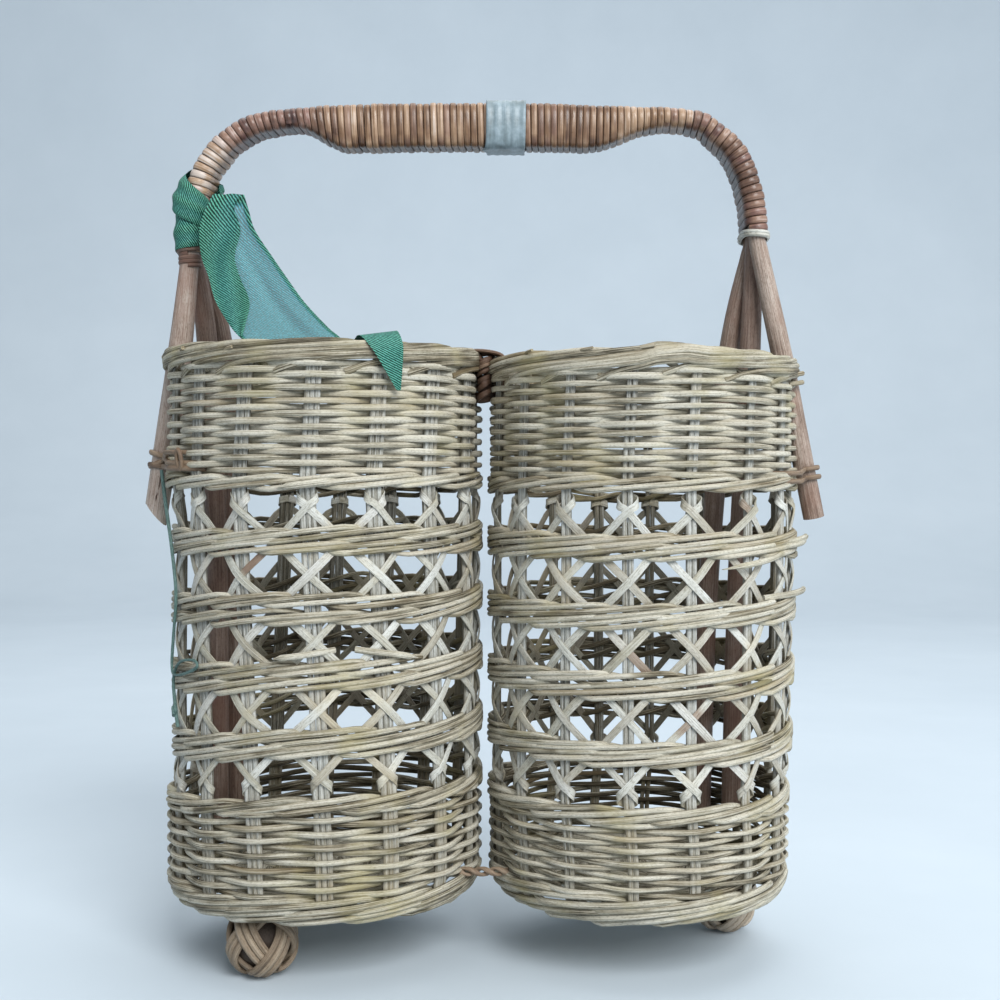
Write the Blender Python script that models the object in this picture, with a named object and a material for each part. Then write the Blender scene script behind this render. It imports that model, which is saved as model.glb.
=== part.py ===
"""Twin wine bottle basket of woven cane under one wrapped rattan handle.

Metres, +Z up. The origin is on the ground, midway between the lower ends of the
outer handle cane. X runs from the left basket to the right one, and Y runs away
from the front.
"""
import math

import bmesh
import bpy
import numpy as np
from mathutils import Vector

# Gaps, shared by every piece
CLEARANCE = 0.0003
OVERRUN = 0.004

# Counts
STAKE_COUNT = 16
HOOP_COUNT = 4
ROW_COUNT = HOOP_COUNT + 1
SIDES = 2 * STAKE_COUNT
BUNDLE_CORNERS = 8

# Left basket
LEFT_RADIUS = 0.0552
LEFT_LOWER_BAND = 0.0385
LEFT_WINDOW = 0.0126
LEFT_HOOP = 0.0087
LEFT_UPPER_BAND = 0.0392
LEFT_TURN = math.radians(1)
LEFT_STAKE_WIDTH = 0.0053
LEFT_CANE_STANDOFF = 0.0035

# Right basket
RIGHT_RADIUS = 0.0540
RIGHT_LOWER_BAND = 0.0340
RIGHT_WINDOW = 0.0136
RIGHT_HOOP = 0.0082
RIGHT_UPPER_BAND = 0.0382
RIGHT_TURN = math.radians(-9)
RIGHT_STAKE_WIDTH = 0.0044
RIGHT_CANE_STANDOFF = 0.0059

# Where the two walls nearly meet, left of which the left basket stands
JOIN_GAP = 0.0012
JOIN_X = 0.0

# Woven walls
WALL_DEPTH = 0.0062
WEAVE_RELIEF = 0.0018
WALING_FLARE = 0.0003
BASE_DRAW_IN = 0.0050
BASE_CURVE_HEIGHT = 0.0120
WALL_SKIRT = 0.0024
SKIRT_THICKNESS = 0.0034
lower_row_shares = (0.0, 0.1, 0.23, 0.36, 0.49, 0.62, 0.75, 0.88, 1.0)
upper_row_shares = (0.0, 0.12, 0.23, 0.34, 0.45, 0.56, 0.67, 0.78, 0.89, 1.0)

# Hoops, lattice and stakes, from the outside inwards
HOOP_SET_BACK = 0.0005
HOOP_DEPTH = 0.0020
HOOP_WAVE = 0.0005
LATTICE_WIDTH = 0.0026
LATTICE_DEPTH = 0.0010
STAKE_DEPTH = 0.0022

# Rim border
RIM_HEIGHT = 0.0072
RIM_OVERHANG = 0.0003
RIM_BULGE = 0.0006
RIM_SKIN = 0.0018

# Base
BASE_THICKNESS = 0.0042
BASE_CROWN = 0.0014
base_ring_shares = (0.3, 0.62)

# Ball feet
FOOT_DIAMETER = 0.0256
FOOT_FLAT = 0.0005
FOOT_INSET = 0.0188
FOOT_STRAP_DEPTH = 0.0009
FOOT_SIDES = 14
foot_ring_shares = (-0.97, -0.8, -0.52, -0.18, 0.18, 0.52, 0.8, 0.97)
foot_angles = {
    "foot_front_left": math.radians(-28.5),
    "foot_back_left": math.radians(-145),
    "foot_back_right": math.radians(115),
}

# Handle canes, which are thinned where they bend
CANE_DIAMETER = 0.0074
LEFT_ARM_INSET = 0.0088
RIGHT_ARM_INSET = 0.0146
WRAP_END_ABOVE_RIM = 0.0333
HANDLE_RISE = 0.0496
OUTER_CANE_DROP = 0.0095
INNER_CANE_SEAT = 0.0150
# Places along the handle's middle line, as shares of the half span and of the rise
handle_line_shares = (
    (-1.0, 0.0),
    (-0.992, 0.26),
    (-0.963, 0.546),
    (-0.925, 0.686),
    (-0.861, 0.826),
    (-0.76, 0.92),
    (-0.599, 0.965),
    (-0.438, 0.99),
    (-0.158, 1.0),
    (0.226, 1.0),
    (0.441, 0.985),
    (0.763, 0.948),
    (0.871, 0.848),
    (0.949, 0.686),
    (0.992, 0.406),
    (1.0, 0.09),
)
# Share of the handle's length, and of the canes' full diameter there
cane_girth_shares = ((0, 0.78), (0.13, 0.74), (0.23, 0.52), (0.77, 0.52), (0.87, 0.74), (1, 0.78))
# Inner canes at the rim, half way down and at the seat: share of the free radius, and
# angle in degrees towards the back
middle_cane_places = {
    "left": ((0.96, 4), (0.97, 17), (0.99, 19)),
    "right": ((0.91, 4), (0.97, 26), (0.99, 32)),
}
back_cane_places = {
    "left": ((0.9, 16), (0.97, 31), (0.99, 34)),
    "right": ((0.78, 16), (0.97, 47), (0.99, 52)),
}
OUTER_CANE_ANGLE = math.radians(9)
OUTER_CANE_END_ANGLE = math.radians(3)
inner_cane_height_shares = (1.0, 0.5)
CANE_STATION_TURN = math.radians(9)
CANE_STATION_LENGTH = 0.016
HANDLE_LINE_STEPS = 24
CANE_END_STEPS = 3

# Grip filler under the canes
GRIP_LENGTH = 0.1226
GRIP_CENTRE = -0.0035
GRIP_DEPTH = 0.0074
GRIP_TAPER_LEFT = 0.0170
GRIP_TAPER_RIGHT = 0.0300
FILLER_START_SHARE = 0.3
FILLER_SECTIONS = 12

# Wrapping of flat cane, wound in three lengths
WRAP_CLEARANCE = 0.0006
WRAP_THICKNESS = 0.0010
WRAP_GAP = 0.0006
WRAP_TURNS = {"wrap_left_arm": 11, "wrap_grip": 14, "wrap_right_arm": 11}
WRAP_FIRST_CORNER = 5
END_RING_WIDTH = 0.0022
END_RING_THICKNESS = 0.0014

# Tape round the grip
TAPE_WIDTH = 0.0133
TAPE_CENTRE = 0.0073
TAPE_THICKNESS = 0.0005

# Lashings that hold the outer cane's ends to the walls
LASHING_THICKNESS = 0.0014
LASHING_HEIGHT = 0.0072
LASHING_RISE = 0.0052
LASHING_STEPS = 8
# Outer profile of the two turns: height share, and 1 where a turn stands proud
lashing_profile_shares = ((0, 0), (0.25, 1), (0.5, 0), (0.75, 1), (1, 0))

# Ties between the two baskets
TIE_WIDTH = 0.0032
TIE_THICKNESS = 0.0012
TIE_LEG = 0.0110
TIE_SET_FORWARD = 0.0060
BASE_TIE_DIAMETER = 0.0036
BASE_TIE_HEIGHT = 0.0092
BASE_TIE_FORWARD = 0.0225
BASE_TIE_TURNS = 1.5
BASE_TIE_STEPS = 8
BASE_TIE_SIDES = 8
BASE_TIE_FLATNESS_SHARE = 0.25

# Ribbon
RIBBON_THICKNESS = 0.0008
KNOT_THICKNESS = 0.0016
KNOT_LENGTH = 0.0270
KNOT_FOLD = 0.0010
KNOT_RINGS = 6
RIBBON_FALL = 0.0520
RIBBON_FOLD = 0.0022
ribbon_fold_shares = (0.0, 0.9, -0.5, 0.7, -0.3, 0.0)
# Left edge, then right edge: x and y in radii from the left basket's axis, and the
# height above the rim in falls of the ribbon
ribbon_edge_shares = (
    ((-0.665, -0.24, 1.02), (-0.475, -0.24, 1.02)),
    ((-0.69, -0.27, 0.79), (-0.41, -0.29, 0.79)),
    ((-0.65, -0.34, 0.54), (-0.24, -0.36, 0.53)),
    ((-0.56, -0.42, 0.27), (-0.05, -0.43, 0.25)),
    ((-0.46, -0.52, 0.02), (0.13, -0.5, 0.02)),
    ((-0.32, -0.62, -0.1), (0.2, -0.6, -0.1)),
    ((-0.12, -0.74, -0.11), (0.26, -0.66, -0.09)),
    ((0.12, -0.83, -0.02), (0.4, -0.71, -0.01)),
    ((0.24, -0.91, 0.045), (0.5, -0.78, 0.05)),
    ((0.31, -1.0, 0.02), (0.56, -0.87, 0.03)),
    ((0.4, -0.985, -0.13), (0.57, -0.885, -0.12)),
    ((0.515, -0.93, -0.3), (0.56, -0.9, -0.3)),
)

# Shading
SMOOTH_ANGLE = math.radians(50)
FACET_SHARE = math.cos(math.pi / SIDES)


class Basket:
    """The levels and radial layers of one basket, worked out from its own sizes."""

    def __init__(self, side, radius, bands, turn, stake_width, cane_standoff):
        self.side = side
        self.outward = -1 if side == "left" else 1
        self.radius = radius
        self.axis_x = JOIN_X + self.outward * (radius + JOIN_GAP / 2)
        self.turn = turn
        self.stake_width = stake_width
        self.cane_reach = radius + cane_standoff
        lower_band, window, hoop, upper_band = bands
        self.pitch = window + hoop
        self.hoop_height = hoop
        self.bottom = FOOT_DIAMETER - 2 * FOOT_FLAT + CLEARANCE
        self.wall_bottom = self.bottom - WALL_SKIRT
        self.lower_top = self.bottom + lower_band
        self.hoops = [self.lower_top + window + k * self.pitch for k in range(HOOP_COUNT)]
        self.windows = [self.lower_top + window / 2 + k * self.pitch for k in range(ROW_COUNT)]
        self.upper_bottom = self.hoops[-1] + self.pitch
        self.upper_top = self.upper_bottom + upper_band
        self.rim_top = self.upper_top + CLEARANCE + RIM_HEIGHT
        self.inner = radius - WALL_DEPTH
        self.base_radius = radius - BASE_DRAW_IN - WALL_DEPTH
        self.hoop_outer = radius - HOOP_SET_BACK
        self.hoop_inner = self.hoop_outer - HOOP_DEPTH
        self.lattice_crown = self.hoop_inner * FACET_SHARE - CLEARANCE
        self.lattice_back = self.lattice_crown - LATTICE_DEPTH
        self.stake_outer = self.lattice_back * FACET_SHARE - CLEARANCE
        self.stake_inner = self.stake_outer - STAKE_DEPTH
        chord = math.cos(math.pi / STAKE_COUNT)
        self.free_radius = self.stake_inner * chord - CLEARANCE - CANE_DIAMETER / 2

    def flank_x(self, y):
        """Where the lower wall's inner flank is, at the height of the base tie."""
        wall = self.lower_top - self.wall_bottom
        rises = [wall * share for share in lower_row_shares]
        drawn = np.interp(BASE_TIE_HEIGHT, rises, [draw_in(rise) for rise in rises])
        reach = self.radius - float(drawn) - WEAVE_RELIEF / 2 + CLEARANCE
        return self.axis_x - self.outward * math.sqrt(reach**2 - y**2)

    def point(self, radius, angle, height):
        """A point by its angle from the front, turning to the right."""
        x = self.axis_x + radius * math.sin(angle)
        return Vector((x, -radius * math.cos(angle), height))

    def side_point(self, radius, angle, height):
        """A point by its angle from the basket's outer side, turning to the back."""
        x = self.axis_x + self.outward * radius * math.cos(angle)
        return Vector((x, radius * math.sin(angle), height))

    def ring_angles(self):
        """Angles of the stakes and of the gaps between them, in turn."""
        return [self.turn + math.pi * k / STAKE_COUNT for k in range(SIDES)]


def clear_scene():
    for old in list(bpy.data.objects):
        bpy.data.objects.remove(old, do_unlink=True)


def material(name, colour, roughness, metallic=0.0):
    made = bpy.data.materials.get(name)
    if made is None:
        made = bpy.data.materials.new(name)
        made.use_nodes = True
        shader = made.node_tree.nodes["Principled BSDF"]
        shader.inputs["Base Color"].default_value = (*colour, 1.0)
        shader.inputs["Roughness"].default_value = roughness
        shader.inputs["Metallic"].default_value = metallic
    return made


def reed():
    return material("woven_reed", (0.36, 0.29, 0.17), 0.75)


def stake_reed():
    return material("stake_reed", (0.50, 0.44, 0.30), 0.8)


def pale_cane():
    return material("pale_cane", (0.66, 0.58, 0.40), 0.6)


def rattan():
    return material("rattan", (0.36, 0.20, 0.13), 0.5)


def wrap_cane():
    return material("wrap_cane", (0.47, 0.25, 0.12), 0.45)


def tan_cane():
    return material("tan_cane", (0.42, 0.29, 0.17), 0.6)


def green_ribbon():
    return material("green_ribbon", (0.02, 0.20, 0.11), 0.7)


def grey_tape():
    return material("grey_tape", (0.42, 0.46, 0.38), 0.6)


def shade(mesh):
    mesh.shade_smooth()
    mesh.set_sharp_from_angle(angle=SMOOTH_ANGLE)


def finish_object(name, bm, finish):
    """Turn a bmesh into a named object with its faces pointing out."""
    bmesh.ops.recalc_face_normals(bm, faces=bm.faces)
    mesh = bpy.data.meshes.new(name)
    bm.to_mesh(mesh)
    bm.free()
    shade(mesh)
    mesh.materials.append(finish)
    made = bpy.data.objects.new(name, mesh)
    bpy.context.collection.objects.link(made)
    return made


def add_ring(bm, points):
    return [bm.verts.new(point) for point in points]


def bridge(bm, first, second, closed=True):
    """Join two rows of vertices with four-sided faces."""
    count = len(first)
    for k in range(count if closed else count - 1):
        after = (k + 1) % count
        bm.faces.new((first[k], first[after], second[after], second[k]))


def hollow_ring(name, rings, finish):
    """A body round an open middle, from rings that go round its cross-section."""
    bm = bmesh.new()
    rows = [add_ring(bm, points) for points in rings]
    for k, row in enumerate(rows):
        bridge(bm, row, rows[(k + 1) % len(rows)])
    return finish_object(name, bm, finish)


def capped_loft(name, sections, finish):
    """A solid through closed cross-sections, with both ends capped."""
    bm = bmesh.new()
    rows = [add_ring(bm, points) for points in sections]
    for first, second in zip(rows, rows[1:]):
        bridge(bm, first, second)
    bm.faces.new(rows[0])
    bm.faces.new(rows[-1])
    return finish_object(name, bm, finish)


def smooth_route(points, per_span):
    """Points read from a smooth curve that passes through the given ones."""
    given = [Vector(point) for point in points]
    first = given[0] * 2 - given[1]
    last = given[-1] * 2 - given[-2]
    all_points = [first, *given, last]
    route = []
    for k in range(1, len(all_points) - 2):
        a, b, c, d = all_points[k - 1 : k + 3]
        for step in range(per_span):
            t = step / per_span
            pull = (c - a) * t + (a * 2 - b * 5 + c * 4 - d) * t**2
            pull += (b * 3 - a - c * 3 + d) * t**3
            route.append(b + pull * 0.5)
    route.append(given[-1])
    return route


def tube(name, points, girths, diameter, finish, resolution=1):
    """A round bar along a route, as a bevelled curve with filled ends.

    The girths are shares of its diameter at each point.
    """
    curve = bpy.data.curves.new(name, "CURVE")
    curve.dimensions = "3D"
    curve.bevel_depth = diameter / 2
    curve.bevel_resolution = resolution
    curve.use_fill_caps = True
    spline = curve.splines.new("POLY")
    spline.points.add(len(points) - 1)
    for place, point, girth in zip(spline.points, points, girths):
        place.co = (*point, 1.0)
        place.radius = girth
    spline.use_smooth = True
    curve.materials.append(finish)
    made = bpy.data.objects.new(name, curve)
    bpy.context.collection.objects.link(made)
    return made


def cut_away(target, cutter):
    """Subtract a cutter, which stays in the scene as a guide."""
    cutter.hide_render = True
    cutter.display_type = "WIRE"
    cut = target.modifiers.new("cut", "BOOLEAN")
    cut.operation = "DIFFERENCE"
    cut.solver = "EXACT"
    cut.object = cutter


def woven_ring(basket, base_radius, height, row):
    """One ring of the weave: out over every second stake, and back everywhere else."""
    points = []
    for k, angle in enumerate(basket.ring_angles()):
        over = (k / 2 + row) % 2 == 0
        points.append(basket.point(base_radius - (0 if over else WEAVE_RELIEF), angle, height))
    return points


def plain_ring(basket, radius, height):
    return [basket.point(radius, angle, height) for angle in basket.ring_angles()]


def draw_in(height):
    """How far the lower wall has curved in at a height above its foot."""
    share = min(height / BASE_CURVE_HEIGHT, 1)
    return BASE_DRAW_IN * (1 - math.sqrt(1 - (1 - share) ** 2))


def make_base(basket):
    radius = basket.base_radius - CLEARANCE
    top = basket.bottom + BASE_THICKNESS
    outline = [Vector((0, 0, basket.bottom)), Vector((radius, 0, basket.bottom))]
    outline.append(Vector((radius, 0, top)))
    for share in reversed(base_ring_shares):
        outline.append(Vector((radius * share, 0, top + BASE_CROWN * (1 - share))))
    outline.append(Vector((0, 0, top + BASE_CROWN)))
    bm = bmesh.new()
    line = add_ring(bm, outline)
    edges = [bm.edges.new(pair) for pair in zip(line, line[1:])]
    bmesh.ops.spin(
        bm, geom=line + edges, axis=(0, 0, 1), cent=(0, 0, 0), angle=math.tau, steps=SIDES
    )
    bmesh.ops.remove_doubles(bm, verts=bm.verts, dist=CLEARANCE / 10)
    made = finish_object(f"{basket.side}_base", bm, reed())
    made.location.x = basket.axis_x
    return made


def make_lower_wall(basket):
    bottom = basket.wall_bottom
    height = basket.lower_top - bottom
    rings = []
    for row, share in enumerate(lower_row_shares):
        rise = height * share
        flare = WALING_FLARE if share == 1 else 0
        rings.append(woven_ring(basket, basket.radius + flare - draw_in(rise), bottom + rise, row))
    rings.append(plain_ring(basket, basket.inner, basket.lower_top))
    rings.append(plain_ring(basket, basket.inner, bottom + BASE_CURVE_HEIGHT))
    rings.append(plain_ring(basket, basket.base_radius, basket.bottom + BASE_THICKNESS))
    rings.append(plain_ring(basket, basket.base_radius, basket.bottom))
    rings.append(plain_ring(basket, basket.radius - BASE_DRAW_IN - SKIRT_THICKNESS, bottom))
    return hollow_ring(f"{basket.side}_lower_wall", rings, reed())


def make_upper_wall(basket):
    height = basket.upper_top - basket.upper_bottom
    rings = []
    for row, share in enumerate(upper_row_shares):
        flare = WALING_FLARE if share == 0 else 0
        rise = basket.upper_bottom + height * share
        rings.append(woven_ring(basket, basket.radius + flare, rise, row))
    rings.append(plain_ring(basket, basket.inner, basket.upper_top))
    rings.append(plain_ring(basket, basket.inner, basket.upper_bottom))
    return hollow_ring(f"{basket.side}_upper_wall", rings, reed())


def make_rim_border(basket):
    """A plaited border: six-sided in section, swelling where its strands cross."""
    outer = basket.radius + RIM_OVERHANG
    middle = (outer + basket.inner) / 2
    half_depth = (outer - basket.inner) / 2
    bottom = basket.upper_top + CLEARANCE
    section_shares = ((0.5, 0), (1, 0.4), (0.6, 1), (-0.5, 1), (-1, 0.5), (-0.6, 0))
    rings = []
    for across, up in section_shares:
        ring = []
        for k, angle in enumerate(basket.ring_angles()):
            swell = RIM_BULGE * math.cos(math.pi * k / 2 + up * math.pi)
            radius = middle + across * (half_depth - RIM_BULGE) + across * swell
            height = bottom + up * (RIM_HEIGHT - RIM_BULGE + swell)
            ring.append(basket.point(radius, angle, height))
        rings.append(ring)
    return hollow_ring(f"{basket.side}_rim_border", rings, reed())


def make_hoop(basket, number):
    """A waled hoop: its outer strands swell over each stake and lean between them."""
    bottom = basket.hoops[number]
    top = bottom + basket.hoop_height
    rings = [plain_ring(basket, basket.hoop_inner, bottom), plain_ring(basket, basket.hoop_inner, top)]
    for height, lean in ((top, -1), (bottom, 1)):
        ring = []
        for k, angle in enumerate(basket.ring_angles()):
            over_stake = 1 - k % 2
            dip = HOOP_WAVE * (1 - over_stake)
            shift = HOOP_WAVE * lean * over_stake
            ring.append(basket.point(basket.hoop_outer - dip, angle, height + shift))
        rings.append(ring)
    return hollow_ring(f"{basket.side}_hoop_{number + 1}", rings, reed())


def make_stakes(basket):
    """Sixteen flat stakes, locked by the inner strands of the four hoops."""
    half = math.asin(basket.stake_width / 2 / basket.stake_outer)
    angles = []
    for k in range(STAKE_COUNT):
        middle = basket.turn + math.tau * k / STAKE_COUNT
        angles += [middle - half, middle + half]
    levels = [basket.lower_top + CLEARANCE]
    for bottom in basket.hoops:
        levels += [bottom, bottom + basket.hoop_height]
    levels.append(basket.upper_bottom - CLEARANCE)
    bm = bmesh.new()
    outer = [add_ring(bm, [basket.point(basket.stake_outer, a, z) for a in angles]) for z in levels]
    inner = [add_ring(bm, [basket.point(basket.stake_inner, a, z) for a in angles]) for z in levels]
    columns, bands = len(angles), len(levels) - 1

    def solid(column, band):
        return 0 <= band < bands and (column % 2 == 0 or band % 2 == 1)

    for column in range(columns):
        after = (column + 1) % columns
        for band in range(bands):
            if not solid(column, band):
                continue
            for row in (outer, inner):
                low, high = row[band], row[band + 1]
                bm.faces.new((low[column], low[after], high[after], high[column]))
            for side, level in ((band - 1, band), (band + 1, band + 1)):
                if not solid(column, side):
                    a, b = outer[level][column], outer[level][after]
                    bm.faces.new((a, b, inner[level][after], inner[level][column]))
            for side, edge in ((column - 1, column), (column + 1, after)):
                if not solid(side % columns, band):
                    a, b = outer[band][edge], outer[band + 1][edge]
                    bm.faces.new((a, b, inner[band + 1][edge], inner[band][edge]))
    return finish_object(f"{basket.side}_stakes", bm, stake_reed())


def make_lattice(basket):
    """Half-round canes that cross on each stake and again behind each hoop."""
    half_step = math.pi / STAKE_COUNT
    run = basket.lattice_back * half_step
    rise = basket.pitch / 2
    slope = math.hypot(run, rise)
    half_wide = LATTICE_WIDTH * slope / (2 * rise)
    half_tall = LATTICE_WIDTH * slope / (2 * run)
    bm = bmesh.new()
    crossings = {}

    def corner(angle, height):
        return bm.verts.new(basket.point(basket.lattice_back, angle, height))

    def add_crossing(column, level):
        angle = basket.turn + column * half_step
        height = basket.windows[0] + level * rise
        wide = half_wide / basket.lattice_back
        made = {
            "right": corner(angle + wide, height),
            "top": corner(angle, height + half_tall),
            "left": corner(angle - wide, height),
            "bottom": corner(angle, height - half_tall),
            "crown": bm.verts.new(basket.point(basket.lattice_crown, angle, height)),
        }
        bm.faces.new([made[key] for key in ("right", "top", "left", "bottom")])
        crossings[column % SIDES, level] = made

    def add_arm(near, far_near, far_crown, far_far):
        """One arm: its flat back and the two slopes of its rounded face."""
        near_a, near_crown, near_b = near
        bm.faces.new((near_a, near_b, far_far, far_near))
        bm.faces.new((near_a, far_near, far_crown, near_crown))
        bm.faces.new((near_crown, far_crown, far_far, near_b))

    def add_end(column, level, up, across):
        """A short arm that stops beside the stake, at the lattice's top or bottom."""
        here = crossings[column % SIDES, level]
        edge = "top" if up > 0 else "bottom"
        flank = "right" if across > 0 else "left"
        reach = basket.stake_width / 2 / basket.lattice_back
        angle = basket.turn + column * half_step + across * reach
        height = basket.windows[0] + level * rise + up * rise / 3
        wide = across * half_wide / basket.lattice_back / 2
        inner_end = corner(angle - wide, height + up * half_tall / 2)
        outer_end = corner(angle + wide, height - up * half_tall / 2)
        crown = bm.verts.new(basket.point(basket.lattice_crown, angle, height))
        add_arm((here[edge], here["crown"], here[flank]), inner_end, crown, outer_end)
        bm.faces.new((inner_end, crown, outer_end))

    top_level = 2 * (ROW_COUNT - 1)
    for level in range(top_level + 1):
        for column in range(level % 2, SIDES, 2):
            add_crossing(column, level)
    for level in range(top_level):
        for column in range(level % 2, SIDES, 2):
            here = crossings[column, level]
            for across, flank, far_flank in ((1, "right", "left"), (-1, "left", "right")):
                there = crossings[(column + across) % SIDES, level + 1]
                near = (here["top"], here["crown"], here[flank])
                add_arm(near, there[far_flank], there["crown"], there["bottom"])
    for column in range(0, SIDES, 2):
        for across in (-1, 1):
            add_end(column, 0, -1, across)
            add_end(column, top_level, 1, across)
    return finish_object(f"{basket.side}_lattice", bm, pale_cane())


def make_foot(name, basket, angle):
    """A ball knot of cane straps, flat where it stands and where the base rests on it."""
    radius = FOOT_DIAMETER / 2
    middle = radius - FOOT_FLAT
    centre = basket.point(basket.radius - FOOT_INSET, angle, middle)
    sections = []
    for row, share in enumerate(foot_ring_shares):
        edge = row in (0, len(foot_ring_shares) - 1)
        height = math.copysign(middle, share) if edge else radius * share
        girth = math.sqrt(max(radius**2 - height**2, 0))
        points = []
        for k in range(FOOT_SIDES):
            turn = math.tau * k / FOOT_SIDES
            strap = 0 if edge else FOOT_STRAP_DEPTH * math.cos(math.pi * (k + row))
            reach = girth - FOOT_STRAP_DEPTH + strap
            points.append(centre + Vector((reach * math.cos(turn), reach * math.sin(turn), height)))
        sections.append(points)
    return capped_loft(name, sections, tan_cane())


class HandleLine:
    """The middle line of the three canes, by length along it, in the XZ plane."""

    def __init__(self, left, right):
        start = left.axis_x - left.radius + LEFT_ARM_INSET
        end = right.axis_x + right.radius - RIGHT_ARM_INSET
        height = left.rim_top + WRAP_END_ABOVE_RIM
        places = []
        for across, up in handle_line_shares:
            x = start + (end - start) * (1 + across) / 2
            places.append(Vector((x, 0, height + up * HANDLE_RISE)))
        self.line = np.array(smooth_route(places, HANDLE_LINE_STEPS))
        steps = np.linalg.norm(np.diff(self.line, axis=0), axis=1)
        self.lengths = np.concatenate(([0], np.cumsum(steps)))
        self.total = float(self.lengths[-1])
        top_x = self.line[:, 0]
        self.grip_start = float(np.interp(GRIP_CENTRE - GRIP_LENGTH / 2, top_x, self.lengths))
        self.grip_end = float(np.interp(GRIP_CENTRE + GRIP_LENGTH / 2, top_x, self.lengths))
        self.tape_middle = float(np.interp(TAPE_CENTRE, top_x, self.lengths))

    def place(self, length):
        x = np.interp(length, self.lengths, self.line[:, 0])
        z = np.interp(length, self.lengths, self.line[:, 2])
        return Vector((float(x), 0, float(z)))

    def outward(self, length):
        """Unit vector away from the inside of the handle's bow."""
        reach = CANE_DIAMETER / 2
        run = self.place(min(length + reach, self.total)) - self.place(max(length - reach, 0))
        return Vector((-run.z, 0, run.x)).normalized()

    def stations(self):
        """Lengths that are close together where the handle bends."""
        made = [0.0]
        for length in self.lengths[1:-1]:
            turned = self.outward(float(length)).angle(self.outward(made[-1]))
            if turned > CANE_STATION_TURN or length - made[-1] > CANE_STATION_LENGTH:
                made.append(float(length))
        return [*made, self.total]

    def girth(self, length):
        """The canes' diameter as a share of the full one."""
        shares, girths = zip(*cane_girth_shares)
        return float(np.interp(length / self.total, shares, girths))

    def filler(self, length):
        """Depth of the grip's filler below the canes."""
        left = min(max((length - self.grip_start) / GRIP_TAPER_LEFT, 0), 1)
        right = min(max((self.grip_end - length) / GRIP_TAPER_RIGHT, 0), 1)
        share = min(left, right)
        return GRIP_DEPTH * share * share * (3 - 2 * share)

    def outline(self, length, corner, lift):
        """Corner 0 to 7 of the bundle's rounded outline, pushed out by lift.

        Corners 0 to 3 go over the top from the back to the front, and 4 to 7
        return underneath, below the filler.
        """
        quarter, second = divmod(corner, 2)
        turn = (quarter + (0.75 if second else 0.25)) * math.pi / 2
        diameter = CANE_DIAMETER * self.girth(length)
        reach = (diameter / 2 + lift) / math.cos(math.pi / BUNDLE_CORNERS)
        across = (diameter + CLEARANCE) * (1 if quarter in (0, 3) else -1)
        fall = self.filler(length) if quarter >= 2 else 0
        return across + reach * math.cos(turn), reach * math.sin(turn) - fall

    def section_point(self, length, corner, lift):
        y, up = self.outline(length, corner, lift)
        return self.place(length) + self.outward(length) * up + Vector((0, y, 0))

    def loop(self, length, lift):
        return [self.section_point(length, corner, lift) for corner in range(BUNDLE_CORNERS)]


def outer_cane_end(basket, height):
    """Where the outer cane's middle line is, below the rim, at a height."""
    foot = basket.side_point(basket.cane_reach, 0, basket.upper_bottom - OUTER_CANE_DROP)
    foot.y = -basket.cane_reach * math.sin(OUTER_CANE_END_ANGLE)
    at_rim = basket.radius + RIM_OVERHANG - RIM_SKIN - CLEARANCE - CANE_DIAMETER / 2
    head = basket.side_point(at_rim, -OUTER_CANE_ANGLE, basket.rim_top)
    share = (height - foot.z) / (head.z - foot.z)
    return foot.lerp(head, share)


def inner_cane_end(basket, cane_places):
    """Three places of an inner cane: at the rim, half way down, and at its seat."""
    seat = basket.bottom + INNER_CANE_SEAT
    heights = [seat + (basket.rim_top - seat) * share for share in inner_cane_height_shares]
    heights.append(seat)
    places = []
    for (share, angle), height in zip(cane_places[basket.side], heights):
        places.append(basket.side_point(basket.free_radius * share, math.radians(angle), height))
    return places


def thinning(point, basket, arm_end, arm_girth):
    """A cane's girth between the rim, where it is full, and the wrapping."""
    return float(np.interp(point.z, (basket.rim_top, arm_end.z), (1, arm_girth)))


def make_canes(line, left, right):
    """Three canes side by side under the wrapping, which fan out below it."""
    ends = {"front": [], "middle": [], "back": []}
    for basket in (left, right):
        low = basket.upper_bottom - OUTER_CANE_DROP
        heights = (basket.rim_top, (basket.rim_top + low) / 2, low)
        ends["front"].append([outer_cane_end(basket, height) for height in heights])
        ends["middle"].append(inner_cane_end(basket, middle_cane_places))
        ends["back"].append(inner_cane_end(basket, back_cane_places))
    stations = line.stations()
    for key, side in (("front", -1), ("middle", 0), ("back", 1)):
        arm = []
        for length in stations:
            spacing = CANE_DIAMETER * line.girth(length) + CLEARANCE
            arm.append(line.place(length) + Vector((0, side * spacing, 0)))
        left_end, right_end = ends[key]
        # The last span of each route lies inside the arm and is left out
        low_left = smooth_route([*reversed(left_end), arm[0], arm[1]], CANE_END_STEPS)
        low_right = smooth_route([arm[-2], arm[-1], *right_end], CANE_END_STEPS)
        low_left = low_left[: -CANE_END_STEPS - 1]
        low_right = low_right[CANE_END_STEPS + 1 :]
        girths = [thinning(point, left, arm[0], line.girth(0)) for point in low_left]
        girths += [line.girth(length) for length in stations]
        girths += [thinning(point, right, arm[-1], line.girth(line.total)) for point in low_right]
        tube(f"handle_cane_{key}", low_left + arm + low_right, girths, CANE_DIAMETER, rattan())


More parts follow.
